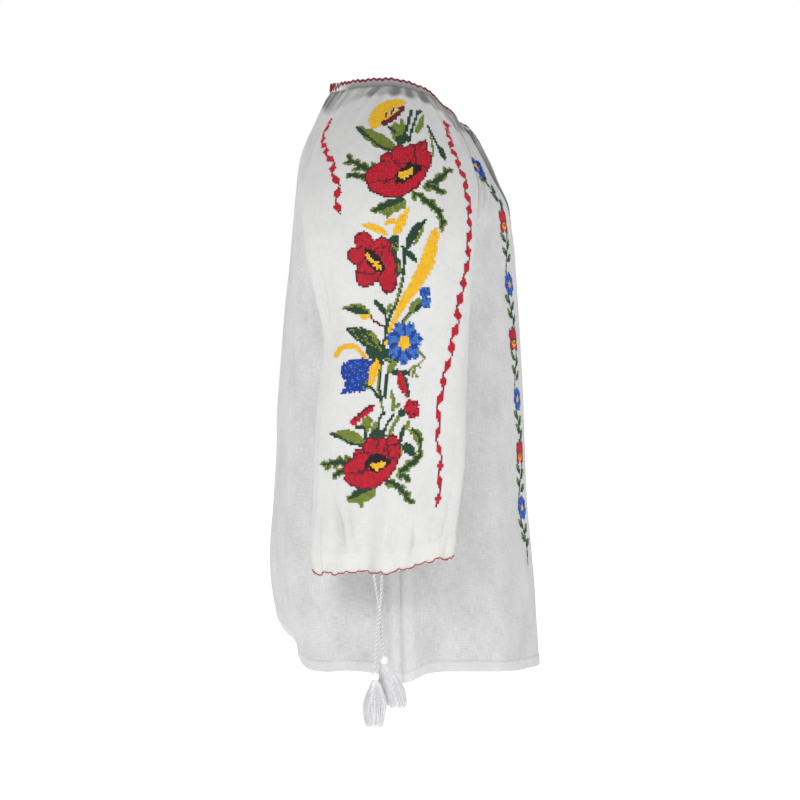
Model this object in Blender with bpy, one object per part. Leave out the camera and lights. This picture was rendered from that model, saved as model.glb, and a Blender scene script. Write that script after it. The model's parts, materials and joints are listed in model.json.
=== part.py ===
"""A linen blouse with raglan sleeves, gathered into a neck band, filled out as if worn.

The front faces -Y and the wearer's right is -X. Heights are measured from the shoulder line,
where the blouse rests on its wearer, so nearly all of it lies below zero.
"""

import math
from collections import namedtuple

import bmesh
import bpy
from mathutils import Vector, kdtree

# Cloth, in metres
WALL = 0.0012
TURNED_WALL = 0.0020  # hem and sleeve casing, where the cloth lies double
BAND_WALL = 0.0024
SEAM_GAP = 0.0003
SEAM_SHARE = 0.55  # how much of the gap each side of a seam gives up
SHARPEST_CORNER = 0.35  # keeps the gap within bounds where two seams meet
TURNED_PROUD = 0.0004  # a turned edge stands this far out of the panel

# Neck: an oval in plan, whose height changes on the way round
NECK_HALF_WIDTH = 0.075
NECK_HALF_DEPTH = 0.0735
NECK_CENTRE_Y = 0.0035
BAND_HEIGHT = 0.010
RAGLAN_FRONT = 35.0  # degrees round the neck from the centre front
RAGLAN_BACK = 140.0

# Front slit
SLIT_BOTTOM = -0.145
SLIT_HALF_OPENING = 0.015
SLIT_REACH = 0.042  # how far from the centre the slit pulls the cloth aside
SLIT_CURVE = 0.8  # under 1 the slit parts early and stays wide, over 1 it parts late
FAR_FLARE = 0.009
FAR_DROP = 0.004
FLARE_CURVE = 1.2

# Gathers, made uneven by slower waves: times round the neck or cuff, and how far they shift it
Wander = namedtuple("Wander", "times shift")
NECK_GATHERS = 24
NECK_GATHER_DEPTH = 0.0016
NECK_WANDER = (Wander(3, 0.9), Wander(7, 0.5))
GATHERS_START = 0.42  # share of the yoke's height
GATHERS_FULL = 0.76
GATHERS_END = 0.10  # share of the height over which the neck band presses them flat
CUFF_GATHERS = 10
CUFF_GATHER_DEPTH = 0.0014
CUFF_GATHERS_TOP = -0.40
CUFF_GATHERS_LENGTH = 0.075
CUFF_SCALLOP = 0.0012
CUFF_WANDER = Wander(2, 0.7)
FOLD_START = 0.07  # the length over which a fold rises out of the cloth
FOLD_END = 0.05

# Body and sleeve sections are rounded ovals: 2 is an ellipse, more is squarer
FRONT_ROUNDNESS = 2.2
BACK_ROUNDNESS = 2.5
SLEEVE_ROUNDNESS = 2.2
CAP_BACK = 0.0095  # how far the sleeve cap swells to the back of a straight run
CAP_FRONT = 0.0030
PANEL_REACH = 3.0  # how fast a side seam's pull on the cloth dies away: more is faster
SLEEVE_REACH = 5.0

ARMPIT = Vector((-0.172, 0.011, -0.165))
CHEST_CENTRE = Vector((0.0, 0.003, -0.13))

# Rows of points up the cloth, as shares of the way
BODY_ROWS = (0.0, 0.022, 0.0265, 0.10, 0.20, 0.31, 0.42, 0.53, 0.64, 0.76, 0.88, 1.0)
SLEEVE_ROWS = (0.0, 0.062, 0.069, 0.14, 0.22, 0.31, 0.42, 0.54, 0.66, 0.78, 0.89, 1.0)
TURNED_ROWS = 2  # the lowest rows of each lie on the turned edge
YOKE_ROWS = (0.0, 0.15, 0.30, 0.45, 0.60, 0.72, 0.82, 0.91, 1.0)
SLIT_ROW = 1

# Spans of cloth between points across a panel
FRONT_SPANS = 20
BACK_SPANS = 22
SLEEVE_SPANS = 24
SLEEVE_NECK_SPANS = 28
CUFF_SPANS = 40
CUFF_SPAN_ROWS = 5
SLEEVE_NECK_ROW = 3

# Drawstrings and tassels
CORD_DIAMETER = 0.0028
HEAD_RADIUS = 0.0042
HEAD_HALF_HEIGHT = 0.0052
HEAD_SIDES = 10
HEAD_RINGS = (62, 25, -10, -45)  # degrees up and down the round head
HEAD_BOTTOM = 0.93
NECKING = (0.95, 0.60, 0.26)  # rings under the head, where the locks start
LOCK_INSET = 0.00012
LOCK_UNEVEN = 0.05
LOCK_TURN = 2.4  # radians from one lock's length to the next

Section = namedtuple("Section", "height front back side half_width")
BODY = (
    Section(-0.630, -0.1535, 0.1210, -0.003, 0.1910),
    Section(-0.590, -0.1512, 0.1235, -0.002, 0.1900),
    Section(-0.565, -0.1495, 0.1340, -0.001, 0.1890),
    Section(-0.530, -0.1475, 0.1408, 0.000, 0.1880),
    Section(-0.490, -0.1440, 0.1423, 0.001, 0.1865),
    Section(-0.440, -0.1395, 0.1386, 0.003, 0.1840),
    Section(-0.330, -0.1353, 0.1320, 0.006, 0.1790),
    Section(-0.250, -0.1311, 0.1260, 0.009, 0.1750),
    Section(-0.165, -0.1257, 0.1195, 0.011, 0.1720),
)

CentreLine = namedtuple("CentreLine", "height across")
FRONT_CENTRE = (
    CentreLine(-0.165, -0.1257),
    CentreLine(-0.141, -0.1221),
    CentreLine(-0.115, -0.1165),
    CentreLine(-0.088, -0.1010),
    CentreLine(-0.068, -0.0905),
    CentreLine(-0.033, -0.0700),
)
BACK_CENTRE = (
    CentreLine(-0.165, 0.1195),
    CentreLine(-0.110, 0.1144),
    CentreLine(-0.067, 0.1090),
    CentreLine(-0.047, 0.1023),
    CentreLine(-0.029, 0.0935),
    CentreLine(-0.009, 0.0847),
    CentreLine(0.0077, 0.0770),
)

Round = namedtuple("Round", "angle height")
HEM = (
    Round(0, -0.6185),
    Round(40, -0.6150),
    Round(70, -0.6110),
    Round(82, -0.6125),
    Round(90, -0.6215),
    Round(98, -0.6125),
    Round(112, -0.6105),
    Round(125, -0.6130),
    Round(135, -0.6120),
    Round(145, -0.6040),
    Round(155, -0.5930),
    Round(167, -0.5780),
    Round(180, -0.5620),
)
NECK_SEAM = (
    Round(0, -0.0330),
    Round(15, -0.0284),
    Round(30, -0.0226),
    Round(45, -0.0165),
    Round(60, -0.0035),
    Round(90, 0.0066),
    Round(120, 0.0066),
    Round(150, 0.0055),
    Round(180, 0.0077),
)
Lean = namedtuple("Lean", "angle inward")
BAND_LEAN = (Lean(0, 40.0), Lean(60, 38.0), Lean(90, 28.0), Lean(150, 12.0), Lean(180, 6.0))

SleeveSection = namedtuple("SleeveSection", "height front back inner outer")
SLEEVE = (
    SleeveSection(-0.505, -0.0485, 0.0865, -0.1990, -0.2720),
    SleeveSection(-0.475, -0.0545, 0.0899, -0.1965, -0.2790),
    SleeveSection(-0.440, -0.0600, 0.0885, -0.1950, -0.2830),
    SleeveSection(-0.390, -0.0660, 0.0868, -0.1940, -0.2850),
    SleeveSection(-0.340, -0.0670, 0.0848, -0.1935, -0.2845),
    SleeveSection(-0.296, -0.0685, 0.0790, -0.1930, -0.2830),
    SleeveSection(-0.263, -0.0697, 0.0760, -0.1925, -0.2810),
    SleeveSection(-0.232, -0.0715, 0.0840, -0.1900, -0.2780),
    SleeveSection(-0.190, -0.0745, 0.0945, -0.1820, -0.2720),
    SleeveSection(-0.165, -0.0775, 0.0980, -0.1720, -0.2660),
)
CUFF = (
    Round(0, -0.4900),
    Round(50, -0.4925),
    Round(75, -0.5020),
    Round(110, -0.5035),
    Round(150, -0.5060),
    Round(200, -0.5050),
    Round(290, -0.4950),
    Round(360, -0.4900),
)

Seam = namedtuple("Seam", "share x y z")
FRONT_RAGLAN = (
    Seam(0.30, -0.157, -0.058, -0.150),
    Seam(0.55, -0.135, -0.082, -0.118),
    Seam(0.80, -0.088, -0.074, -0.065),
)
BACK_RAGLAN = (
    Seam(0.30, -0.160, 0.074, -0.146),
    Seam(0.55, -0.138, 0.097, -0.108),
    Seam(0.80, -0.092, 0.088, -0.048),
)
SHOULDER_RIDGE = (
    Seam(0.20, -0.2520, 0.010, -0.126),
    Seam(0.40, -0.2270, 0.008, -0.088),
    Seam(0.60, -0.1880, 0.006, -0.054),
    Seam(0.80, -0.1360, 0.004, -0.023),
)

# Folds run up and down: angle and half width round the body or the sleeve, in degrees
Fold = namedtuple("Fold", "angle half_width top bottom depth")
BODY_FOLDS = (
    Fold(90, 10, -0.48, -0.66, 0.0055),
    Fold(74, 11, -0.50, -0.66, -0.0030),
    Fold(158, 11, -0.49, -0.66, -0.0060),
    Fold(138, 14, -0.30, -0.66, 0.0042),
    Fold(112, 12, -0.34, -0.66, -0.0042),
    Fold(48, 16, -0.30, -0.66, 0.0036),
    Fold(24, 14, -0.36, -0.66, -0.0030),
    Fold(-30, 15, -0.33, -0.66, 0.0036),
    Fold(-58, 14, -0.36, -0.66, -0.0040),
    Fold(-90, 10, -0.47, -0.66, 0.0055),
    Fold(-118, 13, -0.32, -0.66, -0.0044),
    Fold(-142, 14, -0.28, -0.66, 0.0042),
    Fold(-164, 11, -0.44, -0.66, -0.0044),
)
SLEEVE_FOLDS = (
    Fold(147, 17, -0.165, -0.285, -0.0050),
    Fold(172, 16, -0.20, -0.32, 0.0020),
    Fold(94, 9, -0.415, -0.56, -0.0030),
    Fold(112, 9, -0.425, -0.56, 0.0022),
    Fold(128, 10, -0.405, -0.56, -0.0024),
    Fold(60, 13, -0.38, -0.56, -0.0018),
    Fold(20, 14, -0.30, -0.52, 0.0018),
    Fold(255, 20, -0.22, -0.50, -0.0040),
)

# Routes of the right cuff's two drawstring ends, from the casing to the tassel
Step = namedtuple("Step", "x y z")
CORD_ROUTES = (
    (
        Step(-0.2692, 0.0262, -0.5042),
        Step(-0.2697, 0.0256, -0.5100),
        Step(-0.2717, 0.0230, -0.5230),
        Step(-0.2727, 0.0210, -0.5380),
        Step(-0.2722, 0.0192, -0.5620),
        Step(-0.2712, 0.0168, -0.5800),
        Step(-0.2705, 0.0160, -0.5855),
    ),
    (
        Step(-0.2698, 0.0186, -0.5049),
        Step(-0.2708, 0.0184, -0.5110),
        Step(-0.2755, 0.0186, -0.5230),
        Step(-0.2785, 0.0204, -0.5410),
        Step(-0.2800, 0.0226, -0.5600),
        Step(-0.2815, 0.0243, -0.5830),
        Step(-0.2820, 0.0246, -0.6005),
    ),
)
Skirt = namedtuple("Skirt", "length lean half_width half_depth")
SKIRTS = (Skirt(0.0465, -0.0130, 0.0125, 0.0056), Skirt(0.0505, 0.0016, 0.0116, 0.0060))

LINEN = (0.86, 0.87, 0.86, 1.0)
FOLDED_LINEN = (0.88, 0.88, 0.87, 1.0)
COTTON = (0.90, 0.90, 0.89, 1.0)
THREAD = (0.88, 0.88, 0.89, 1.0)


def smooth_step(share):
    share = min(max(share, 0.0), 1.0)
    return share * share * (3.0 - 2.0 * share)


def smooth_value(rows, column, at):
    """One column of a table at a place in its first column, on a smooth curve."""
    places = [row[0] for row in rows]
    values = [getattr(row, column) for row in rows]
    at = min(max(at, places[0]), places[-1])
    last = len(rows) - 1
    i = min(max(k for k in range(len(rows)) if places[k] <= at), last - 1)

    def slope(k):
        low, high = max(k - 1, 0), min(k + 1, last)
        return (values[high] - values[low]) / (places[high] - places[low])

    span = places[i + 1] - places[i]
    s = (at - places[i]) / span
    return (
        (2 * s**3 - 3 * s**2 + 1) * values[i]
        + (s**3 - 2 * s**2 + s) * span * slope(i)
        + (3 * s**2 - 2 * s**3) * values[i + 1]
        + (s**3 - s**2) * span * slope(i + 1)
    )


def smooth_point(rows, share):
    return Vector([smooth_value(rows, column, share) for column in "xyz"])


def folded_angle(angle):
    """The same angle measured from the front to the back on either side, 0 to 180."""
    angle = abs(angle) % 360.0
    return 360.0 - angle if angle > 180.0 else angle


def fold_depth(folds, angle, height):
    """How far all folds together lift the cloth at this place."""
    lift = 0.0
    for fold in folds:
        away = abs((angle - fold.angle + 180.0) % 360.0 - 180.0) / fold.half_width
        if away < 1.0 and fold.bottom < height < fold.top:
            from_top = smooth_step((fold.top - height) / FOLD_START)
            from_bottom = smooth_step((height - fold.bottom) / FOLD_END)
            lift += fold.depth * from_top * from_bottom * math.cos(away * math.pi / 2.0) ** 2
    return lift


def gather_wave(angle, gathers, wanders):
    """Gathers round the neck or cuff as a wave from -1 to 1."""
    turn = math.radians(angle)
    return math.sin(gathers * turn + sum(w.shift * math.sin(w.times * turn) for w in wanders))


def oval(angle, roundness):
    """A point on a rounded oval of size 1: 0 degrees is forward, 90 is to the right side."""
    turn = math.radians(angle)
    power = 2.0 / roundness
    side = math.copysign(abs(math.sin(turn)) ** power, math.sin(turn))
    forward = math.copysign(abs(math.cos(turn)) ** power, math.cos(turn))
    return side, forward


def neck_point(angle):
    turn = math.radians(angle)
    return Vector(
        (
            -NECK_HALF_WIDTH * math.sin(turn),
            NECK_CENTRE_Y - NECK_HALF_DEPTH * math.cos(turn),
            smooth_value(NECK_SEAM, "height", folded_angle(angle)),
        )
    )


def body_point(angle, height, proud=0.0):
    """A point of the body below the armpits, angles from the centre front to the wearer's right."""
    roundness = FRONT_ROUNDNESS if math.cos(math.radians(angle)) > 0 else BACK_ROUNDNESS
    side, forward = oval(angle, roundness)
    middle = smooth_value(BODY, "side", height)
    if forward > 0:
        depth = middle - smooth_value(BODY, "front", height)
    else:
        depth = smooth_value(BODY, "back", height) - middle
    half_width = smooth_value(BODY, "half_width", height)
    lift = proud + fold_depth(BODY_FOLDS, angle, height)
    return Vector((-side * (half_width + lift), middle - forward * (depth + lift), height))


def hem_height(angle):
    return smooth_value(HEM, "height", folded_angle(angle))


def sleeve_point(angle, height, proud=0.0):
    """A point of the right sleeve below the armpit: 0 degrees is its front, 90 its outer side."""
    side, forward = oval(angle, SLEEVE_ROUNDNESS)
    front = smooth_value(SLEEVE, "front", height)
    back = smooth_value(SLEEVE, "back", height)
    inner = smooth_value(SLEEVE, "inner", height)
    outer = smooth_value(SLEEVE, "outer", height)
    gathered = smooth_step((CUFF_GATHERS_TOP - height) / CUFF_GATHERS_LENGTH)
    wave = gather_wave(angle, CUFF_GATHERS, (CUFF_WANDER,))
    lift = proud + fold_depth(SLEEVE_FOLDS, angle, height) + CUFF_GATHER_DEPTH * gathered * wave
    half_depth = (back - front) / 2.0 + lift
    half_width = (inner - outer) / 2.0 + lift
    return Vector(
        (
            (inner + outer) / 2.0 - side * half_width,
            (front + back) / 2.0 - forward * half_depth,
            height,
        )
    )


def raglan_seam(rows, neck_angle):
    """The seam's full table, from the armpit to the neck."""
    neck = neck_point(neck_angle)
    return (Seam(0.0, *ARMPIT), *rows, Seam(1.0, *neck))


FRONT_SEAM = raglan_seam(FRONT_RAGLAN, RAGLAN_FRONT)
BACK_SEAM = raglan_seam(BACK_RAGLAN, RAGLAN_BACK)


def mirrored(point):
    return Vector((-point.x, point.y, point.z))


def gather(point, neck_angle, share):
    """Moves a point of the yoke in or out with the gathers that start at the neck band."""
    rise = smooth_step((share - GATHERS_START) / (GATHERS_FULL - GATHERS_START))
    depth = smooth_step((1.0 - share) / GATHERS_END) * rise
    wave = gather_wave(folded_angle(neck_angle), NECK_GATHERS, NECK_WANDER)
    outward = (point - CHEST_CENTRE).normalized()
    return point + outward * (NECK_GATHER_DEPTH * depth * wave)


def patch(across, share, low, high, start, end, reach):
    """A sheet between four edges. Each side edge bends the sheet less the farther it lies."""
    point = low(across).lerp(high(across), share)
    start_pull = start(share) - low(0.0).lerp(high(0.0), share)
    end_pull = end(share) - low(1.0).lerp(high(1.0), share)
    return point + start_pull * (1.0 - across) ** reach + end_pull * across**reach


def front_seam(share):
    return smooth_point(FRONT_SEAM, share)


def back_seam(share):
    return smooth_point(BACK_SEAM, share)


def follow_centre(point, across, share, centre_line, centre):
    """Brings the middle of a panel onto its centre line in the side view."""
    low, high = centre_line[0].height, centre_line[-1].height
    height = low + (high - low) * share
    aim = Vector((0.0, smooth_value(centre_line, "across", height), height))
    return point + (aim - centre) * math.sin(math.pi * across) ** 2


def open_slit(point, side):
    """Draws the two sides of the front slit apart, and lets the wearer's left side stand forward."""
    top = NECK_SEAM[0].height
    opened = smooth_step((point.z - SLIT_BOTTOM) / (top - SLIT_BOTTOM)) ** SLIT_CURVE
    if point.y > -0.02 or opened == 0.0:
        return point
    near = max(0.0, 1.0 - abs(point.x) / SLIT_REACH) ** 2
    moved = point.copy()
    moved.x += side * SLIT_HALF_OPENING * opened * near
    if side > 0:
        moved.y -= FAR_FLARE * near * opened**FLARE_CURVE
        moved.z -= FAR_DROP * near * opened
    return moved


def front_point(across, share, side):
    """The front panel above the armpits."""
    angles = (RAGLAN_FRONT, -RAGLAN_FRONT)

    def low(a):
        return body_point(90.0 - 180.0 * a, ARMPIT.z)

    def high(a):
        return neck_point(angles[0] + (angles[1] - angles[0]) * a)

    def left_seam(s):
        return mirrored(front_seam(s))

    point = patch(across, share, low, high, front_seam, left_seam, PANEL_REACH)
    centre = patch(0.5, share, low, high, front_seam, left_seam, PANEL_REACH)
    point = follow_centre(point, across, share, FRONT_CENTRE, centre)
    point = gather(point, angles[0] + (angles[1] - angles[0]) * across, share)
    return open_slit(point, side)


def back_point(across, share):
    """The back panel above the armpits."""
    angles = (360.0 - RAGLAN_BACK, RAGLAN_BACK)

    def low(a):
        return body_point(270.0 - 180.0 * a, ARMPIT.z)

    def high(a):
        return neck_point(angles[0] + (angles[1] - angles[0]) * a)

    def left_seam(s):
        return mirrored(back_seam(s))

    point = patch(across, share, low, high, left_seam, back_seam, PANEL_REACH)
    centre = patch(0.5, share, low, high, left_seam, back_seam, PANEL_REACH)
    point = follow_centre(point, across, share, BACK_CENTRE, centre)
    return gather(point, angles[0] + (angles[1] - angles[0]) * across, share)


def sleeve_yoke_point(across, share):
    """The right sleeve above the armpit, from the back seam over the shoulder to the front seam."""

    def low(a):
        return sleeve_point(270.0 - 360.0 * a, ARMPIT.z)

    def high(a):
        return neck_point(RAGLAN_BACK + (RAGLAN_FRONT - RAGLAN_BACK) * a)

    point = patch(across, share, low, high, back_seam, front_seam, SLEEVE_REACH)
    centre = patch(0.5, share, low, high, back_seam, front_seam, SLEEVE_REACH)
    ridge = (Seam(0.0, *low(0.5)), *SHOULDER_RIDGE, Seam(1.0, *high(0.5)))
    point += (smooth_point(ridge, share) - centre) * math.sin(math.pi * across) ** 2
    fullness = CAP_BACK if across < 0.5 else CAP_FRONT
    point.y += fullness * math.sin(2.0 * math.pi * across) * 4.0 * share * (1.0 - share)
    return gather(point, RAGLAN_BACK + (RAGLAN_FRONT - RAGLAN_BACK) * across, share)


class Cloth:
    """The outer face of one panel while it is drawn: points, wall thickness and faces."""

    def __init__(self, name):
        self.name = name
        self.points = []
        self.walls = []
        self.faces = []

    def row(self, spans, place, wall=WALL, closed=False, first=0, last=None):
        """Adds points at even shares across, and returns (share, point number) pairs."""
        last = spans if last is None else last
        pairs = []
        for k in range(first, last + 1):
            if closed and k == last:
                pairs.append((1.0, pairs[0][1]))
                continue
            self.points.append(place(k / spans))
            self.walls.append(wall)
            pairs.append((k / spans, len(self.points) - 1))
        return pairs

    def join(self, lower, upper):
        """Faces between two rows, which may hold different numbers of points."""
        i = j = 0
        while i < len(lower) - 1 or j < len(upper) - 1:
            next_low = lower[i + 1][0] if i < len(lower) - 1 else 2.0
            next_high = upper[j + 1][0] if j < len(upper) - 1 else 2.0
            if abs(next_low - next_high) < 1e-9:
                self.faces.append((lower[i][1], lower[i + 1][1], upper[j + 1][1], upper[j][1]))
                i, j = i + 1, j + 1
            elif next_low < next_high:
                self.faces.append((lower[i][1], lower[i + 1][1], upper[j][1]))
                i += 1
            else:
                self.faces.append((lower[i][1], upper[j + 1][1], upper[j][1]))
                j += 1


def body_row_wall(number):
    return TURNED_WALL if number < TURNED_ROWS else WALL


def body_rows(cloth, spans, angle_at):
    """The rows of a body panel from the hem to the armpits."""
    rows = []
    for number, share in enumerate(BODY_ROWS):
        proud = TURNED_PROUD if number < TURNED_ROWS else 0.0

        def place(across, share=share, proud=proud):
            hem = hem_height(angle_at(across))
            return body_point(angle_at(across), hem + (ARMPIT.z - hem) * share, proud)

        rows.append(cloth.row(spans, place, body_row_wall(number)))
    for lower, upper in zip(rows, rows[1:]):
        cloth.join(lower, upper)
    return rows[-1]


def front_panel():
    cloth = Cloth("front_panel")
    row = body_rows(cloth, FRONT_SPANS, lambda across: 90.0 - 180.0 * across)
    for share in YOKE_ROWS[1 : SLIT_ROW + 1]:
        upper = cloth.row(FRONT_SPANS, lambda a, s=share: front_point(a, s, -1.0))
        cloth.join(row, upper)
        row = upper
    middle = FRONT_SPANS // 2
    halves = ((-1.0, 0, middle, row[: middle + 1]), (1.0, middle, FRONT_SPANS, row[middle:]))
    for side, first, last, lower in halves:
        for share in YOKE_ROWS[SLIT_ROW + 1 :]:
            upper = cloth.row(
                FRONT_SPANS,
                lambda a, s=share, side=side: front_point(a, s, side),
                first=first,
                last=last,
            )
            cloth.join(lower, upper)
            lower = upper
    return cloth


def back_panel():
    cloth = Cloth("back_panel")
    row = body_rows(cloth, BACK_SPANS, lambda across: 270.0 - 180.0 * across)
    for share in YOKE_ROWS[1:]:
        upper = cloth.row(BACK_SPANS, lambda a, s=share: back_point(a, s))
        cloth.join(row, upper)
        row = upper
    return cloth


def cuff_height(angle):
    scallop = CUFF_SCALLOP * math.cos(math.radians(CUFF_GATHERS * angle))
    return smooth_value(CUFF, "height", angle % 360.0) + scallop


def sleeve(name, flip):
    """One sleeve. The left one is drawn as the right one and then flipped."""
    cloth = Cloth(name)
    row = None
    for number, share in enumerate(SLEEVE_ROWS):
        proud = TURNED_PROUD if number < TURNED_ROWS else 0.0

        def place(across, share=share, proud=proud):
            angle = 270.0 - 360.0 * across
            low = cuff_height(angle)
            return sleeve_point(angle, low + (ARMPIT.z - low) * share, proud)

        spans = CUFF_SPANS if number < CUFF_SPAN_ROWS else SLEEVE_SPANS
        upper = cloth.row(spans, place, body_row_wall(number), closed=True)
        if row:
            cloth.join(row, upper)
        row = upper
    for number, share in enumerate(YOKE_ROWS[1:], start=1):
        spans = SLEEVE_SPANS if number < SLEEVE_NECK_ROW else SLEEVE_NECK_SPANS
        upper = cloth.row(spans, lambda a, s=share: sleeve_yoke_point(a, s))
        cloth.join(row, upper)
        row = upper
    if flip:
        cloth.points = [mirrored(point) for point in cloth.points]
        cloth.faces = [tuple(reversed(face)) for face in cloth.faces]
    return cloth


def neck_angles():
    """The angles of all panel points along the neck seam, from the slit's left side to its right."""
    sleeve_turn = RAGLAN_BACK - RAGLAN_FRONT
    stretches = (
        (360.0, 360.0 - RAGLAN_FRONT, FRONT_SPANS // 2),
        (360.0 - RAGLAN_FRONT, 360.0 - RAGLAN_FRONT - sleeve_turn, SLEEVE_NECK_SPANS),
        (360.0 - RAGLAN_BACK, RAGLAN_BACK, BACK_SPANS),
        (RAGLAN_BACK, RAGLAN_FRONT, SLEEVE_NECK_SPANS),
        (RAGLAN_FRONT, 0.0, FRONT_SPANS // 2),
    )
    angles = [360.0]
    for start, end, spans in stretches:
        angles += [start + (end - start) * k / spans for k in range(1, spans + 1)]
    return angles


def neck_band():
    cloth = Cloth("neck_band")
    angles = neck_angles()

    def place(across, height):
        angle = angles[round(across * (len(angles) - 1))]
        side = 1.0 if angle > 180.0 else -1.0
        lean = math.radians(smooth_value(BAND_LEAN, "inward", folded_angle(angle)))
        seam = neck_point(angle)
        inward = Vector((-seam.x, NECK_CENTRE_Y - seam.y, 0.0)).normalized()
        rise = Vector((0.0, 0.0, math.cos(lean))) + inward * math.sin(lean)
        return open_slit(seam, side) + rise * height

    spans = len(angles) - 1
    rows = [cloth.row(spans, lambda a, h=h: place(a, h), BAND_WALL) for h in (0.0, BAND_HEIGHT)]
    cloth.join(*rows)
    return cloth


def outer_mesh(cloth):
    mesh = bmesh.new()
    verts = [mesh.verts.new(point) for point in cloth.points]
    for face in cloth.faces:
        mesh.faces.new([verts[k] for k in face])
    mesh.verts.index_update()
    mesh.verts.ensure_lookup_table()
    mesh.normal_update()
    return mesh


def shared_normals(meshes):
    """Gives points that several panels share one common normal, and lists which are shared."""
    total = sum(len(mesh.verts) for mesh in meshes)
    tree = kdtree.KDTree(total)
    owners = [(m, v.index) for m, mesh in enumerate(meshes) for v in mesh.verts]
    for number, (m, v) in enumerate(owners):
        tree.insert(meshes[m].verts[v].co, number)
    tree.balance()
    normals = [[vert.normal.copy() for vert in mesh.verts] for mesh in meshes]
    shared = [set() for _ in meshes]
    merged = {}
    for m, mesh in enumerate(meshes):
        for vert in mesh.verts:
            near = [owners[found[1]] for found in tree.find_range(vert.co, 2e-5)]
            if len(near) > 1:
                shared[m].add(vert.index)
                total_normal = sum((normals[a][b] for a, b in near), Vector())
                merged[(m, vert.index)] = total_normal.normalized()
    for (m, v), normal in merged.items():
        normals[m][v] = normal
    return normals, shared


def seam_pull(vert, normal, shared):
    """The way from a seam point into its own panel, long enough to clear both seams at a corner."""
    inward = []
    for edge in vert.link_edges:
        if edge.is_boundary and edge.other_vert(vert).index in shared:
            along = (edge.other_vert(vert).co - vert.co).normalized()
            across = along.cross(normal).normalized()
            face_centre = edge.link_faces[0].calc_center_median()
            if across.dot(face_centre - vert.co) < 0:
                across.negate()
            inward.append(across)
    if not inward:
        return Vector()
    if len(inward) == 1:
        return inward[0]
    return (inward[0] + inward[1]) / max(1.0 + inward[0].dot(inward[1]), SHARPEST_CORNER)


def wall_object(cloth, mesh, normals, shared, material):
    """Closes a panel's outer face with an inner face and edges, parted from its neighbours."""
    pulls = [
        seam_pull(vert, normals[vert.index], shared) if vert.index in shared else Vector()
        for vert in mesh.verts
    ]
    for vert, pull in zip(mesh.verts, pulls):
        vert.co += pull * (SEAM_GAP * SEAM_SHARE)
    edges = [tuple(v.index for v in edge.verts) for edge in mesh.edges if edge.is_boundary]
    outer = list(mesh.verts)
    inner = [
        mesh.verts.new(vert.co - normals[k] * cloth.walls[k]) for k, vert in enumerate(outer)
    ]
    for face in cloth.faces:
        mesh.faces.new([inner[k] for k in reversed(face)])
    for a, b in edges:
        mesh.faces.new((outer[a], outer[b], inner[b], inner[a]))
    bmesh.ops.recalc_face_normals(mesh, faces=mesh.faces)
    bmesh.ops.triangulate(mesh, faces=[f for f in mesh.faces if len(f.verts) > 3])
    return finished_object(cloth.name, mesh, material)


def finished_object(name, mesh, material):
    data = bpy.data.meshes.new(name)
    mesh.to_mesh(data)
    mesh.free()
    data.shade_smooth()
    data.set_sharp_from_angle(angle=math.radians(50))
    data.materials.append(material)
    item = bpy.data.objects.new(name, data)
    bpy.context.collection.objects.link(item)
    return item


def head_rings():
    """The tassel head's outline: radius and height of each ring, from the top to the locks."""
    rings = [
        (HEAD_RADIUS * math.cos(math.radians(a)), HEAD_HALF_HEIGHT * math.sin(math.radians(a)))
        for a in HEAD_RINGS
    ]
    return rings + [(HEAD_RADIUS * share, -HEAD_HALF_HEIGHT * HEAD_BOTTOM) for share in NECKING]


def tassel(name, head_centre, skirt, material):
    """A round head with locks of thread, each drawn out of its own face under the head."""
    mesh = bmesh.new()
    rings = []
    for radius, height in head_rings():
        ring = []
        for k in range(HEAD_SIDES):
            turn = 2.0 * math.pi * k / HEAD_SIDES
            spot = Vector((radius * math.cos(turn), radius * math.sin(turn), height))
            ring.append(mesh.verts.new(head_centre + spot))
        rings.append(ring)
    mesh.faces.new(rings[0])
    locks = [mesh.faces.new(list(reversed(rings[-1])))]
    for number, (upper, lower) in enumerate(zip(rings, rings[1:])):
        for k in range(HEAD_SIDES):
            n = (k + 1) % HEAD_SIDES
            face = mesh.faces.new((upper[k], lower[k], lower[n], upper[n]))
            if number >= len(HEAD_RINGS):
                locks.append(face)
    mesh.normal_update()
    bmesh.ops.inset_individual(mesh, faces=locks, thickness=LOCK_INSET)
    for number, lock in enumerate(locks):
        draw_lock(mesh, lock, number, head_centre, skirt)
    bmesh.ops.recalc_face_normals(mesh, faces=mesh.faces)
    bmesh.ops.triangulate(mesh, faces=[f for f in mesh.faces if len(f.verts) > 3])
    return finished_object(name, mesh, material)


LEAN_CURVE = 1.3  # over 1 a leaning skirt bends away from the upright
LockRing = namedtuple("LockRing", "down spread thickness")
LOCK_RINGS = (LockRing(0.45, 0.74, 0.0015), LockRing(1.0, 1.0, 0.0014))


def draw_lock(mesh, face, number, head_centre, skirt):
    """Draws one face down into a lock of the skirt."""
    root = face.calc_center_median() - head_centre
    spread = Vector((root.x, root.y, 0.0)) / HEAD_RADIUS
    uneven = 1.0 + LOCK_UNEVEN * math.sin(number * LOCK_TURN)
    bottom = HEAD_HALF_HEIGHT * HEAD_BOTTOM
    for ring in LOCK_RINGS:
        aim = Vector(
            (
                spread.x * (HEAD_RADIUS + (skirt.half_depth - HEAD_RADIUS) * ring.spread),
                spread.y * (HEAD_RADIUS + (skirt.half_width - HEAD_RADIUS) * ring.spread),
                -bottom - (skirt.length - HEAD_HALF_HEIGHT) * ring.down * uneven,
            )
        )
        aim.y += skirt.lean * ring.down**LEAN_CURVE
        drawn = bmesh.ops.extrude_discrete_faces(mesh, faces=[face])["faces"][0]
        centre = drawn.calc_center_median()
        scale = ring.thickness / math.sqrt(drawn.calc_area())
        for vert in drawn.verts:
            offset = (vert.co - centre) * scale
            vert.co = head_centre + aim + Vector((offset.x, offset.y, 0.0))
        face = drawn


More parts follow.
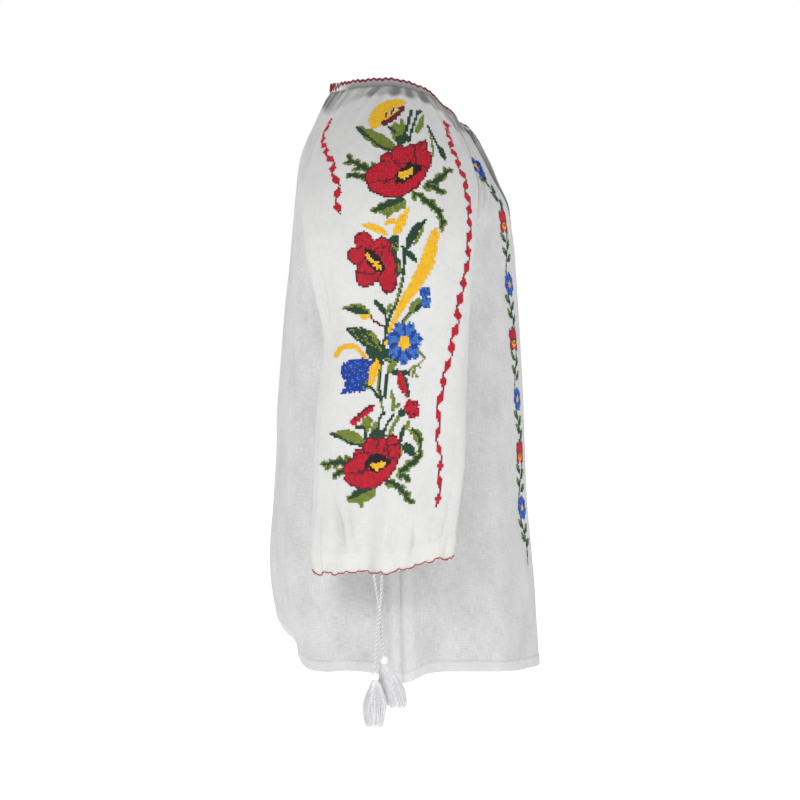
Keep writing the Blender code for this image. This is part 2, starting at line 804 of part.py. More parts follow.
def catmull(route, steps):
    """Points along a smooth curve through a route."""
    points = [Vector(step) for step in route]
    ends = [points[0] * 2 - points[1], *points, points[-1] * 2 - points[-2]]
    curve = []
    for i in range(1, len(ends) - 2):
        a, b, c, d = ends[i - 1 : i + 3]
        for k in range(steps):
            t = k / steps
            curve.append(
                0.5 * (2 * b + (c - a) * t + (2 * a - 5 * b + 4 * c - d) * t**2
                       + (3 * b - a - 3 * c + d) * t**3)
            )
    return curve + [points[-1]]


def cord(name, route, material):
    data = bpy.data.curves.new(name, "CURVE")
    data.dimensions = "3D"
    data.bevel_depth = CORD_DIAMETER / 2.0
    data.bevel_resolution = 2
    data.resolution_u = 1
    data.render_resolution_u = 0
    data.use_fill_caps = True
    points = catmull(route, 2)
    spline = data.splines.new("POLY")
    spline.points.add(len(points) - 1)
    for spot, point in zip(spline.points, points):
        spot.co = (*point, 1.0)
    data.materials.append(material)
    item = bpy.data.objects.new(name, data)
    bpy.context.collection.objects.link(item)
    return item


def cloth_material(name, colour, roughness):
    material = bpy.data.materials.new(name)
    material.use_nodes = True
    shader = material.node_tree.nodes["Principled BSDF"]
    shader.inputs["Base Color"].default_value = colour
    shader.inputs["Roughness"].default_value = roughness
    shader.inputs["Metallic"].default_value = 0.0
    return material


def drawstrings(side_name, mirror, cotton, thread):
    """Both ends of one cuff's drawstring, each with its tassel."""
    for number, (route, skirt) in enumerate(zip(CORD_ROUTES, SKIRTS), start=1):
        steps = [Step(step.x * mirror, step.y, step.z) for step in route]
        cord(f"drawstring_{side_name}_{number}", steps, cotton)
        drop = HEAD_HALF_HEIGHT * math.sin(math.radians(HEAD_RINGS[0])) + SEAM_GAP
        head = Vector(steps[-1]) - Vector((0.0, 0.0, drop))
        tassel(f"tassel_{side_name}_{number}", head, skirt, thread)


def main():
    for item in list(bpy.data.objects):
        bpy.data.objects.remove(item, do_unlink=True)
    linen = cloth_material("linen", LINEN, 0.85)
    band = cloth_material("neck_band", FOLDED_LINEN, 0.85)
    cotton = cloth_material("cotton_cord", COTTON, 0.8)
    thread = cloth_material("tassel_thread", THREAD, 0.7)
    cloths = [
        front_panel(),
        back_panel(),
        sleeve("sleeve_right", False),
        sleeve("sleeve_left", True),
        neck_band(),
    ]
    meshes = [outer_mesh(cloth) for cloth in cloths]
    normals, shared = shared_normals(meshes)
    for number, cloth in enumerate(cloths):
        material = band if cloth.name == "neck_band" else linen
        wall_object(cloth, meshes[number], normals[number], shared[number], material)
    drawstrings("right", 1.0, cotton, thread)
    drawstrings("left", -1.0, cotton, thread)


main()
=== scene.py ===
# %% [markdown]
# An embroidered linen blouse, filled out as if worn
#
# The imported model gives the size and place of every piece, so it is loaded first. The finished blouse
# has to stay inside it, apart from a few millimetres of soft cloth.

# %% Load the frame
import json
import math
from collections import namedtuple
from functools import partial

import bmesh
import bpy
import numpy as np
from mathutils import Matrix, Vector

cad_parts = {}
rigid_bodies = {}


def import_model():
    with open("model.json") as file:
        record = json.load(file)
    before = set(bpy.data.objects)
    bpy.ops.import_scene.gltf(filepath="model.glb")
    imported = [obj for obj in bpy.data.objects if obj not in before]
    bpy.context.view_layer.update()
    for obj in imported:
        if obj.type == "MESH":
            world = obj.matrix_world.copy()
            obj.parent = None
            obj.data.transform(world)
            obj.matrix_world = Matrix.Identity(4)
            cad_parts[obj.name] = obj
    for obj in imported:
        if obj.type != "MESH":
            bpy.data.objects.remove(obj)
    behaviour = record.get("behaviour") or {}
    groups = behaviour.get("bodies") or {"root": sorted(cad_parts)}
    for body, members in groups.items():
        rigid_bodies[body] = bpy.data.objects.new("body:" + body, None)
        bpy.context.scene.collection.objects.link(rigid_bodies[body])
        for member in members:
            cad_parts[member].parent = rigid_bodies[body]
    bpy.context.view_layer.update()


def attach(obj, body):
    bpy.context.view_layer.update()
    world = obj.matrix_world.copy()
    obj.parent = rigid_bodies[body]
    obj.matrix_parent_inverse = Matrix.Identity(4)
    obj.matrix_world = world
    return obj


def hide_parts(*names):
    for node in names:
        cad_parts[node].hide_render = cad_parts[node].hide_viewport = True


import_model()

# %% [markdown]
# The camera
#
# The photo shows the wearer's right side dead level. A long lens from three metres keeps the near
# sleeve from looking too big, which a short lens would do.

# %% Set up the camera
EYE = Vector((-3.0, 0.0, -0.330))
lens = bpy.data.cameras.new("camera")
lens.lens = 122.7
lens.sensor_width = 36.0
camera = bpy.data.objects.new("camera", lens)
bpy.context.collection.objects.link(camera)
camera.location = EYE
camera.rotation_euler = (math.radians(90), 0.0, math.radians(-90))
bpy.context.scene.camera = camera
print("camera at", tuple(EYE), "looking along +X")

# %% [markdown]
# Smooth curves through short tables
#
# A pattern cutter notes a few widths and heights and draws a fair curve through them. The same is
# done here: a table with a row for each height, and a curve through one of its columns. Numpy lets
# one call work out thousands of points.

# %% Curves through tables
def through(table, column):
    """A smooth curve through one column of a table, against the table's first column."""
    places = np.array([row[0] for row in table], float)
    values = np.array([getattr(row, column) for row in table], float)
    last = len(places) - 1
    low = np.maximum(np.arange(last + 1) - 1, 0)
    high = np.minimum(np.arange(last + 1) + 1, last)
    slopes = (values[high] - values[low]) / (places[high] - places[low])

    def at(x):
        x = np.clip(x, places[0], places[-1])
        i = np.clip(np.searchsorted(places, x, side="right") - 1, 0, last - 1)
        span = places[i + 1] - places[i]
        s = (x - places[i]) / span
        start, end = s**3 - 2 * s**2 + s, s**3 - s**2
        upper = 3 * s**2 - 2 * s**3
        bend = span * (start * slopes[i] + end * slopes[i + 1])
        return (1 - upper) * values[i] + upper * values[i + 1] + bend

    return at


def ease(share):
    """Rises smoothly from 0 to 1 as the share does."""
    share = np.clip(share, 0.0, 1.0)
    return share * share * (3.0 - 2.0 * share)


def row_of(table, share):
    """Points along a table of places: x, y and z against the share of the way."""
    return np.stack([through(table, axis)(share) for axis in "xyz"], axis=-1)


def lerp(low, high, share):
    """Values a share of the way from low to high."""
    return low + (high - low) * np.asarray(share)[..., None]


def folded(angle):
    """The angle from the front to the back on either side, 0 to 180."""
    angle = np.abs(angle) % 360.0
    return np.where(angle > 180.0, 360.0 - angle, angle)


print("an ease at its quarters:", ease(np.array((0.25, 0.5, 0.75))))

# %% [markdown]
# The cut of the blouse
#
# The body is a rounded oval that widens to the hem, and the sleeve is another that widens to the
# elbow. Both meet the neck along slanted raglan seams. These tables hold the sizes in metres,
# measured from the shoulder line where the blouse rests on its wearer.

# %% Sizes of the body and neck
NECK_HALF_WIDTH = 0.075
NECK_HALF_DEPTH = 0.0735
NECK_CENTRE_Y = 0.0035
RAGLAN_FRONT = 35.0
RAGLAN_BACK = 140.0
ARMPIT = np.array((-0.172, 0.011, -0.165))
CHEST_CENTRE = np.array((0.0, 0.003, -0.13))
FRONT_ROUNDNESS = 2.2
BACK_ROUNDNESS = 2.5
SLEEVE_ROUNDNESS = 2.2

Section = namedtuple("Section", "height front back side half_width")
BODY = (
    Section(-0.630, -0.1535, 0.1210, -0.003, 0.1910),
    Section(-0.590, -0.1512, 0.1235, -0.002, 0.1900),
    Section(-0.565, -0.1495, 0.1340, -0.001, 0.1890),
    Section(-0.530, -0.1475, 0.1408, 0.000, 0.1880),
    Section(-0.490, -0.1440, 0.1423, 0.001, 0.1865),
    Section(-0.440, -0.1395, 0.1386, 0.003, 0.1840),
    Section(-0.330, -0.1353, 0.1320, 0.006, 0.1790),
    Section(-0.250, -0.1311, 0.1260, 0.009, 0.1750),
    Section(-0.165, -0.1257, 0.1195, 0.011, 0.1720),
)
Centre = namedtuple("Centre", "height across")
FRONT_CENTRE = (
    Centre(-0.165, -0.1257),
    Centre(-0.141, -0.1221),
    Centre(-0.115, -0.1165),
    Centre(-0.088, -0.1010),
    Centre(-0.068, -0.0905),
    Centre(-0.033, -0.0700),
)
BACK_CENTRE = (
    Centre(-0.165, 0.1195),
    Centre(-0.110, 0.1144),
    Centre(-0.067, 0.1090),
    Centre(-0.047, 0.1023),
    Centre(-0.029, 0.0935),
    Centre(-0.009, 0.0847),
    Centre(0.0077, 0.0770),
)
Round = namedtuple("Round", "angle height")
HEM = (
    Round(0, -0.6185),
    Round(40, -0.6150),
    Round(70, -0.6110),
    Round(82, -0.6125),
    Round(90, -0.6215),
    Round(98, -0.6125),
    Round(112, -0.6105),
    Round(125, -0.6130),
    Round(135, -0.6120),
    Round(145, -0.6040),
    Round(155, -0.5930),
    Round(167, -0.5780),
    Round(180, -0.5620),
)
NECK_SEAM = (
    Round(0, -0.0330),
    Round(15, -0.0284),
    Round(30, -0.0226),
    Round(45, -0.0165),
    Round(60, -0.0035),
    Round(90, 0.0066),
    Round(120, 0.0066),
    Round(150, 0.0055),
    Round(180, 0.0077),
)
print(f"body: {len(BODY)} sections from {BODY[0].height} to {BODY[-1].height} m")

# %% Sizes of the sleeve and the raglan seams
SleeveSection = namedtuple("SleeveSection", "height front back inner outer")
SLEEVE = (
    SleeveSection(-0.505, -0.0485, 0.0865, -0.1990, -0.2720),
    SleeveSection(-0.475, -0.0545, 0.0899, -0.1965, -0.2790),
    SleeveSection(-0.440, -0.0600, 0.0885, -0.1950, -0.2830),
    SleeveSection(-0.390, -0.0660, 0.0868, -0.1940, -0.2850),
    SleeveSection(-0.340, -0.0670, 0.0848, -0.1935, -0.2845),
    SleeveSection(-0.296, -0.0685, 0.0790, -0.1930, -0.2830),
    SleeveSection(-0.263, -0.0697, 0.0760, -0.1925, -0.2810),
    SleeveSection(-0.232, -0.0715, 0.0840, -0.1900, -0.2780),
    SleeveSection(-0.190, -0.0745, 0.0945, -0.1820, -0.2720),
    SleeveSection(-0.165, -0.0775, 0.0980, -0.1720, -0.2660),
)
CUFF = (
    Round(0, -0.4900),
    Round(50, -0.4925),
    Round(75, -0.5020),
    Round(110, -0.5035),
    Round(150, -0.5060),
    Round(200, -0.5050),
    Round(290, -0.4950),
    Round(360, -0.4900),
)
Seam = namedtuple("Seam", "share x y z")
FRONT_RAGLAN = (
    Seam(0.30, -0.157, -0.058, -0.150),
    Seam(0.55, -0.135, -0.082, -0.118),
    Seam(0.80, -0.088, -0.074, -0.065),
)
BACK_RAGLAN = (
    Seam(0.30, -0.160, 0.074, -0.146),
    Seam(0.55, -0.138, 0.097, -0.108),
    Seam(0.80, -0.092, 0.088, -0.048),
)
SHOULDER_RIDGE = (
    Seam(0.20, -0.2520, 0.010, -0.126),
    Seam(0.40, -0.2270, 0.008, -0.088),
    Seam(0.60, -0.1880, 0.006, -0.054),
    Seam(0.80, -0.1360, 0.004, -0.023),
)
CAP_BACK = 0.0095
CAP_FRONT = 0.0030
print(f"sleeve: {len(SLEEVE)} sections from {SLEEVE[0].height} to {SLEEVE[-1].height} m")

# %% [markdown]
# Folds and creases
#
# Worn linen hangs in long soft folds that start at a gather or at the bend of the arm and die out.
# Each is one row here: where it lies round the body or sleeve, how wide, from which height to which,
# and how deep. Placing them one by one gives the uneven look of the real ones, which a noise texture
# can't. A fold may drift sideways on its way down, as the slanting creases over the cuff do.

# %% Tables of folds
Fold = namedtuple("Fold", "angle half_width top bottom depth drift")
BODY_FOLDS = (
    Fold(90, 10, -0.48, -0.66, 0.0055, 0),
    Fold(74, 11, -0.50, -0.66, -0.0030, 0),
    Fold(158, 11, -0.49, -0.66, -0.0060, 0),
    Fold(138, 14, -0.30, -0.66, 0.0042, 0),
    Fold(112, 12, -0.34, -0.66, -0.0042, 0),
    Fold(48, 16, -0.30, -0.66, 0.0036, 0),
    Fold(24, 14, -0.36, -0.66, -0.0030, 0),
    Fold(-30, 15, -0.33, -0.66, 0.0036, 0),
    Fold(-58, 14, -0.36, -0.66, -0.0040, 0),
    Fold(-90, 10, -0.47, -0.66, 0.0055, 0),
    Fold(-118, 13, -0.32, -0.66, -0.0044, 0),
    Fold(-142, 14, -0.28, -0.66, 0.0042, 0),
    Fold(-164, 11, -0.44, -0.66, -0.0044, 0),
    Fold(60, 8, -0.19, -0.42, -0.0030, 14),
    Fold(72, 7, -0.22, -0.38, 0.0022, -9),
    Fold(38, 7, -0.18, -0.36, 0.0024, -8),
    Fold(103, 4, -0.40, -0.58, -0.0012, 5),
    Fold(127, 6, -0.18, -0.33, -0.0018, -7),
    Fold(172, 7, -0.17, -0.39, 0.0018, 4),
    Fold(-44, 6, -0.20, -0.43, -0.0016, 5),
    Fold(-76, 6, -0.24, -0.49, 0.0014, -6),
    Fold(-131, 6, -0.19, -0.36, -0.0017, 7),
    Fold(-176, 6, -0.22, -0.41, 0.0014, -4),
)
SLEEVE_FOLDS = (
    Fold(147, 17, -0.165, -0.285, -0.0050, 0),
    Fold(172, 16, -0.20, -0.32, 0.0020, 0),
    Fold(94, 9, -0.415, -0.56, -0.0022, 0),
    Fold(112, 9, -0.425, -0.56, 0.0022, 0),
    Fold(128, 10, -0.405, -0.56, -0.0024, 0),
    Fold(60, 13, -0.38, -0.56, -0.0018, 0),
    Fold(20, 14, -0.30, -0.52, 0.0018, 0),
    Fold(255, 20, -0.22, -0.50, -0.0040, 0),
    Fold(95.5, 5.5, -0.372, -0.54, -0.0044, 0),
    Fold(87, 5.0, -0.385, -0.54, 0.0028, 0),
    Fold(145, 6.9, -0.400, -0.500, -0.0068, -33),
    Fold(124, 6, -0.415, -0.500, -0.0054, -18),
    Fold(82, 5.5, -0.425, -0.505, -0.0048, 6),
    Fold(68, 6, -0.430, -0.505, -0.0042, -5),
    Fold(50, 5, -0.430, -0.505, 0.0022, 8),
    Fold(30, 5, -0.395, -0.49, -0.0018, 8),
    Fold(160, 6, -0.34, -0.47, 0.0014, -10),
    Fold(146, 6.9, -0.150, -0.275, -0.0050, 17),
    Fold(205, 8, -0.24, -0.43, -0.0022, 8),
    Fold(318, 9, -0.20, -0.42, 0.0020, -9),
    Fold(338, 6, -0.37, -0.49, -0.0018, 8),
    Fold(228, 6, -0.40, -0.50, 0.0016, 9),
)
print(len(BODY_FOLDS), "body folds,", len(SLEEVE_FOLDS), "folds on each sleeve")

# %% The height of all folds together
FOLD_START = 0.07
FOLD_END = 0.05
SHARP_CREASE = 7.0


def fold_height(folds, angle, height):
    """How far out all folds lift the cloth. Those narrower than SHARP_CREASE have a sharp edge."""
    lift = np.zeros(np.broadcast(angle, height).shape)
    for fold in folds:
        length = fold.top - fold.bottom
        centre = fold.angle + fold.drift * np.clip((fold.top - height) / length, 0.0, 1.0)
        away = np.abs((angle - centre + 180.0) % 360.0 - 180.0) / fold.half_width
        from_top = ease((fold.top - height) / min(FOLD_START, length * 0.55))
        from_bottom = ease((height - fold.bottom) / min(FOLD_END, length * 0.45))
        bump = np.cos(np.clip(away, 0.0, 1.0) * np.pi / 2) ** 2
        if fold.half_width < SHARP_CREASE:
            bump = np.clip(1.0 - away, 0.0, 1.0) ** 1.5
        lift += fold.depth * from_top * from_bottom * bump
    return lift


low_folds = fold_height(BODY_FOLDS, np.arange(360.0), -0.6)
print(f"low folds stand from {low_folds.min():.4f} to {low_folds.max():.4f} m off the oval")

# %% [markdown]
# The outer face of each panel
#
# Each panel is a function: give it how far across and how far up the cloth, and it answers with a
# place in space. Below the armpits the panels follow the ovals. Above them each is a sheet stretched
# between four edges: the armpit line, the neck seam and two raglan seams. Sculpting would give the
# same form, but a function can be asked again later, when the embroidery needs its places.

# %% Ovals of the neck, body and sleeve
def oval(angle, roundness):
    """Shares of the half width and half depth at an angle. A roundness above 2 squares the oval."""
    turn = np.radians(angle)
    power = 2.0 / roundness
    side = np.sign(np.sin(turn)) * np.abs(np.sin(turn)) ** power
    forward = np.sign(np.cos(turn)) * np.abs(np.cos(turn)) ** power
    return side, forward


def neck_point(angle):
    """A place on the neck seam. Angles run from the front over the wearer's right side."""
    turn = np.radians(angle)
    height = through(NECK_SEAM, "height")(folded(angle))
    across = NECK_CENTRE_Y - NECK_HALF_DEPTH * np.cos(turn)
    return np.stack([-NECK_HALF_WIDTH * np.sin(turn), across, height], axis=-1)


def body_point(angle, height, proud=0.0):
    """A place on the body below the armpits, with its folds, moved out by proud."""
    front_side, front_forward = oval(angle, FRONT_ROUNDNESS)
    back_side, back_forward = oval(angle, BACK_ROUNDNESS)
    ahead = np.cos(np.radians(angle)) > 0
    side = np.where(ahead, front_side, back_side)
    forward = np.where(ahead, front_forward, back_forward)
    middle = through(BODY, "side")(height)
    to_front = middle - through(BODY, "front")(height)
    to_back = through(BODY, "back")(height) - middle
    depth = np.where(forward > 0, to_front, to_back)
    lift = proud + fold_height(BODY_FOLDS, angle, height)
    width = through(BODY, "half_width")(height) + lift
    return np.stack(np.broadcast_arrays(-side * width, middle - forward * (depth + lift), height), -1)


CUFF_GATHERS = 21
CUFF_GATHER_DEPTH = 0.0015
CASING_HEIGHT = 0.0215


def cuff_wave(turn):
    """The gathers round the cuff, closer in some places than in others."""
    return np.sin(CUFF_GATHERS * turn + 1.3 * np.sin(4 * turn) + 1.1 * np.sin(7 * turn + 1.0))


def sleeve_point(angle, height, proud=0.0):
    side, forward = oval(angle, SLEEVE_ROUNDNESS)
    front, back, inner, outer = (
        through(SLEEVE, name)(height) for name in ("front", "back", "inner", "outer")
    )
    turn = np.radians(angle)
    broad = np.sin(10 * turn + 0.7 * np.sin(2 * turn))
    reach = 0.045 + 0.030 * np.sin(5 * turn + 0.6) * np.sin(3 * turn)
    gathered = ease((-0.49 + reach - height) / 0.05)
    lift = proud + fold_height(SLEEVE_FOLDS, angle, height)
    lift = lift + gathered * CUFF_GATHER_DEPTH * (cuff_wave(turn) + broad)
    half_depth = (back - front) / 2 + lift
    half_width = (inner - outer) / 2 + lift
    x = (inner + outer) / 2 - side * half_width
    y = (front + back) / 2 - forward * half_depth
    return np.stack(np.broadcast_arrays(x, y, height), -1)


print("neck seam at the front and the back:", neck_point(np.array((0.0, 180.0))).round(3).tolist())

# %% The yoke: gathers, seams and sheets between four edges
NECK_GATHERS = 44
NECK_GATHER_DEPTH = 0.0014


def gather(point, neck_angle, share):
    """Adds the small gathers that start at the neck seam and run out in the yoke."""
    turn = np.radians(folded(neck_angle))
    wave = np.sin(NECK_GATHERS * turn + 0.9 * np.sin(3 * turn) + 0.8 * np.sin(11 * turn))
    starts = 0.50 + 0.12 * np.sin(9 * turn + 0.4) + 0.08 * np.sin(23 * turn)
    depth = ease((1.0 - share) / 0.06) * ease((share - starts) / 0.36)
    outward = point - CHEST_CENTRE
    outward = outward / np.linalg.norm(outward, axis=-1, keepdims=True)
    return point + outward * (NECK_GATHER_DEPTH * depth * wave)[..., None]


def raglan_seam(rows, neck_angle):
    """The slanted seam from the armpit through the table's rows to the neck."""
    table = (Seam(0.0, *ARMPIT), *rows, Seam(1.0, *neck_point(np.array(neck_angle))))
    return lambda share: row_of(table, share)


def front_neck_angle(across):
    return RAGLAN_FRONT * (1.0 - 2.0 * across)


def back_neck_angle(across):
    return 360.0 - RAGLAN_BACK + (2.0 * RAGLAN_BACK - 360.0) * across


def sleeve_neck_angle(across):
    return RAGLAN_BACK + (RAGLAN_FRONT - RAGLAN_BACK) * across


MIRROR = np.array((-1.0, 1.0, 1.0))
front_seam = raglan_seam(FRONT_RAGLAN, RAGLAN_FRONT)
back_seam = raglan_seam(BACK_RAGLAN, RAGLAN_BACK)


def patch(across, share, low, high, start, end, reach):
    """A sheet between four edges. The reach says how soon the two side edges lose their hold."""
    base_start = lerp(low(0.0 * across), high(0.0 * across), share)
    base_end = lerp(low(0.0 * across + 1.0), high(0.0 * across + 1.0), share)
    point = lerp(low(across), high(across), share)
    point = point + (start(share) - base_start) * ((1.0 - across) ** reach)[..., None]
    return point + (end(share) - base_end) * (across**reach)[..., None]


def follow_centre(point, across, share, table, centre):
    """Draws a sheet out or in, so that its middle follows the outline in the table."""
    low, high = table[0].height, table[-1].height
    height = low + (high - low) * share
    aim = np.stack([0.0 * height, through(table, "across")(height), height], -1)
    return point + (aim - centre) * (np.sin(np.pi * across) ** 2)[..., None]


print("middle of the front seam:", front_seam(np.array([0.5])).round(3).tolist())

# %% Front, back and sleeve above the armpits
SLIT_BOTTOM = -0.145
SLIT_HALF_OPENING = 0.015
SLIT_REACH = 0.042
FAR_FLARE = 0.0135
FAR_DROP = 0.004
NEAR_SET_BACK = 0.005


def open_slit(point, side):
    """Parts the two halves at the slit. The far half flares forward and hangs a little lower."""
    opened = ease((point[..., 2] - SLIT_BOTTOM) / (NECK_SEAM[0].height - SLIT_BOTTOM)) ** 0.8
    opened = np.where(point[..., 1] > -0.02, 0.0, opened)
    near = np.maximum(0.0, 1.0 - np.abs(point[..., 0]) / SLIT_REACH) ** 2
    moved = point.copy()
    moved[..., 0] += side * SLIT_HALF_OPENING * opened * near
    if side > 0:
        moved[..., 1] -= FAR_FLARE * near * opened
        moved[..., 2] -= FAR_DROP * near * opened
    else:
        moved[..., 1] += NEAR_SET_BACK * near * opened
    return moved


def front_point(across, share, side):
    def low(a):
        return body_point(90.0 - 180.0 * a, ARMPIT[2] + 0.0 * a)

    def high(a):
        return neck_point(front_neck_angle(a))

    def left_seam(s):
        return front_seam(s) * MIRROR

    edges = (low, high, front_seam, left_seam)
    point = patch(across, share, *edges, 3.0)
    centre = patch(0.0 * across + 0.5, share, *edges, 3.0)
    point = follow_centre(point, across, share, FRONT_CENTRE, centre)
    point = gather(point, front_neck_angle(across), share)
    return open_slit(point, side)


def back_point(across, share):
    def low(a):
        return body_point(270.0 - 180.0 * a, ARMPIT[2] + 0.0 * a)

    def high(a):
        return neck_point(back_neck_angle(a))

    def left_seam(s):
        return back_seam(s) * MIRROR

    edges = (low, high, left_seam, back_seam)
    point = patch(across, share, *edges, 3.0)
    centre = patch(0.0 * across + 0.5, share, *edges, 3.0)
    point = follow_centre(point, across, share, BACK_CENTRE, centre)
    return gather(point, back_neck_angle(across), share)


def sleeve_yoke_point(across, share):
    def low(a):
        return sleeve_point(270.0 - 360.0 * a, ARMPIT[2] + 0.0 * a)

    def high(a):
        return neck_point(sleeve_neck_angle(a))

    edges = (low, high, back_seam, front_seam)
    point = patch(across, share, *edges, 5.0)
    centre = patch(0.0 * across + 0.5, share, *edges, 5.0)
    ridge = (Seam(0.0, *low(np.array(0.5))), *SHOULDER_RIDGE, Seam(1.0, *high(np.array(0.5))))
    point = point + (row_of(ridge, share) - centre) * (np.sin(np.pi * across) ** 2)[..., None]
    fullness = np.where(across < 0.5, CAP_BACK, CAP_FRONT)
    point[..., 1] += fullness * np.sin(2 * np.pi * across) * 4.0 * share * (1.0 - share)
    return gather(point, sleeve_neck_angle(across), share)


print("on the shoulder:", sleeve_yoke_point(np.array([0.5]), np.array([0.6])).round(3).tolist())

# %% [markdown]
# From functions to grids of points
#
# Each panel is now sampled as a grid: rows up the cloth and columns across it. The rows lie closer
# at the hem and at the neck, where the turned edge and the gathers are. The hem and the casing stand
# a little proud, because the cloth lies double there.

# %% Sample every panel
HEM_HEIGHT = 0.0105
TURNED_PROUD = 0.0004
PUCKER = 0.00035
BODY_REACH = 0.45
SLEEVE_REACH = 0.34
YOKE_ROWS = 61
HALF_COLUMNS = 60
BACK_MIDDLE = 60
SLEEVE_MIDDLE = 80
YOKE_SHARES = np.linspace(0.0, 1.0, YOKE_ROWS)[1:, None]
BACK_COLUMNS = np.linspace(0.0, 1.0, 2 * BACK_MIDDLE + 1)[None, :]
SLEEVE_COLUMNS = np.linspace(0.0, 1.0, 2 * SLEEVE_MIDDLE + 1)[None, :]


def turned(distance, height):
    """How far the turned edge stands out, at a distance up from the edge."""
    return TURNED_PROUD * ease((height - distance) / 0.0012 + 0.5)


def body_rows(angle):
    hem = through(HEM, "height")(folded(angle))
    turn = np.radians(angle)
    reach = ARMPIT[2] - hem
    edge = np.array([0.0, 0.2, 0.4, 0.6, 0.8, 0.95, 1.0, 1.05, 1.2]) * HEM_HEIGHT
    share = np.concatenate([edge / BODY_REACH, np.linspace(0.036, 1.0, 78)])[:, None]
    height = hem + reach * share
    pucker = PUCKER * np.sin(turn * 64 + 2 * np.sin(turn * 9))
    near_hem = ease((1.5 * HEM_HEIGHT - reach * share) / HEM_HEIGHT)
    return body_point(angle, height, turned(reach * share, HEM_HEIGHT) + pucker * near_hem)


def half_front(side):
    first, last = (0.0, 0.5) if side < 0 else (0.5, 1.0)
    across = np.linspace(first, last, HALF_COLUMNS + 1)[None, :]
    lower = body_rows(90.0 - 180.0 * across)
    a, s = np.broadcast_arrays(across, YOKE_SHARES)
    return np.concatenate([lower, front_point(a, s, side)])


def back_grid():
    lower = body_rows(270.0 - 180.0 * BACK_COLUMNS)
    a, s = np.broadcast_arrays(BACK_COLUMNS, YOKE_SHARES)
    return np.concatenate([lower, back_point(a, s)])


def sleeve_grid():
    angle = 270.0 - 360.0 * SLEEVE_COLUMNS
    turn = np.radians(angle)
    low = through(CUFF, "height")(angle % 360.0)
    low = low + 0.0013 * np.cos(10 * turn) + 0.0012 * cuff_wave(turn)
    reach = ARMPIT[2] - low
    edge = np.array([0.0, 0.1, 0.22, 0.36, 0.5, 0.64, 0.78, 0.9, 0.97, 1.03, 1.1, 1.22, 1.36])
    share = np.concatenate([edge * CASING_HEIGHT / SLEEVE_REACH, np.linspace(0.095, 1.0, 84)])[:, None]
    height = low + reach * share
    fine = PUCKER * np.sin(47 * turn + 2.0 * np.sin(5 * turn)) * ease((0.07 - share) / 0.03)
    lower = sleeve_point(angle, height, turned(reach * share, CASING_HEIGHT) + fine)
    a, s = np.broadcast_arrays(SLEEVE_COLUMNS, YOKE_SHARES)
    return np.concatenate([lower, sleeve_yoke_point(a, s)])


def grid_normals(grid):
    down, along = np.gradient(grid, axis=(0, 1))
    normal = np.cross(along, down)
    return normal / np.maximum(np.linalg.norm(normal, axis=-1, keepdims=True), 1e-12)


right_front, left_front, back, sleeve = half_front(-1.0), half_front(1.0), back_grid(), sleeve_grid()
for name, grid in (("half front", right_front), ("back", back), ("sleeve", sleeve)):
    print(name, "grid", grid.shape[:2])

# %% [markdown]
# The material of linen
#
# Linen is a plain weave of threads that are never quite even: here and there one is thicker, and
# that slub shows as a short streak along it or across it. Four materials use the same weave with
# their own values, so it is built once as a node group. It works in the cloth's own flat
# coordinates, so the streaks bend with every fold.

# %% The weave as a node group
def new_group(name, inputs, outputs):
    group = bpy.data.node_groups.new(name, "ShaderNodeTree")
    for label, kind, value in inputs:
        socket = group.interface.new_socket(label, in_out="INPUT", socket_type=kind)
        socket.default_value = value
    for label, kind in outputs:
        group.interface.new_socket(label, in_out="OUTPUT", socket_type=kind)
    return group, group.nodes.new("NodeGroupInput"), group.nodes.new("NodeGroupOutput")


def add(tree, kind, values=(), **settings):
    """A node with its settings, and its input sockets set by name or number."""
    node = tree.nodes.new(kind)
    for name, value in settings.items():
        setattr(node, name, value)
    for socket, value in dict(values).items():
        if isinstance(value, bpy.types.NodeSocket):
            tree.links.new(value, node.inputs[socket])
        else:
            node.inputs[socket].default_value = value
    return node


def maths(tree, operation, first, second=0.0, third=0.0):
    values = {0: first, 1: second, 2: third}
    return add(tree, "ShaderNodeMath", values, operation=operation).outputs[0]


def stretched_noise(tree, place, scale, detail=2.0):
    spot = add(tree, "ShaderNodeVectorMath", {0: place, 1: scale}, operation="MULTIPLY")
    values = {"Vector": spot.outputs[0], "Scale": 1.0, "Detail": detail, "Roughness": 0.55}
    return add(tree, "ShaderNodeTexNoise", values).outputs["Fac"]


def mixed(tree, factor, low, high):
    """Two colours mixed by a factor. The node's sockets 6 and 7 take the colours."""
    values = {"Factor": factor, 6: low, 7: high}
    return add(tree, "ShaderNodeMix", values, data_type="RGBA", clamp_factor=True).outputs[2]


def raise_relief(tree, shader, strength, distance, height):
    relief = add(tree, "ShaderNodeBump", {"Strength": strength, "Distance": distance, "Height": height})
    tree.links.new(relief.outputs[0], shader.inputs["Normal"])


weave, weave_in, weave_out = new_group(
    "linen_weave",
    [
        ("Place", "NodeSocketVector", (0, 0, 0)),
        ("Thread", "NodeSocketFloat", 0.55),
        ("Slubs", "NodeSocketFloat", 0.5),
        ("Mottle", "NodeSocketFloat", 0.5),
    ],
    [("Shade", "NodeSocketFloat"), ("Height", "NodeSocketFloat")],
)
cloth_mm = add(
    weave, "ShaderNodeVectorMath", {0: weave_in.outputs["Place"], 3: 1000.0}, operation="SCALE"
).outputs[0]
along_slub = stretched_noise(weave, cloth_mm, (1.0, 0.10, 1.0), 3.0)
across_slub = stretched_noise(weave, cloth_mm, (0.10, 1.0, 1.0), 3.0)
blotch = stretched_noise(weave, cloth_mm, (0.028, 0.020, 1.0))
slub_sum = maths(weave, "ADD", along_slub, across_slub)
slub_middle = maths(weave, "SUBTRACT", slub_sum, 1.0)
slub_part = maths(weave, "MULTIPLY", slub_middle, weave_in.outputs["Slubs"])
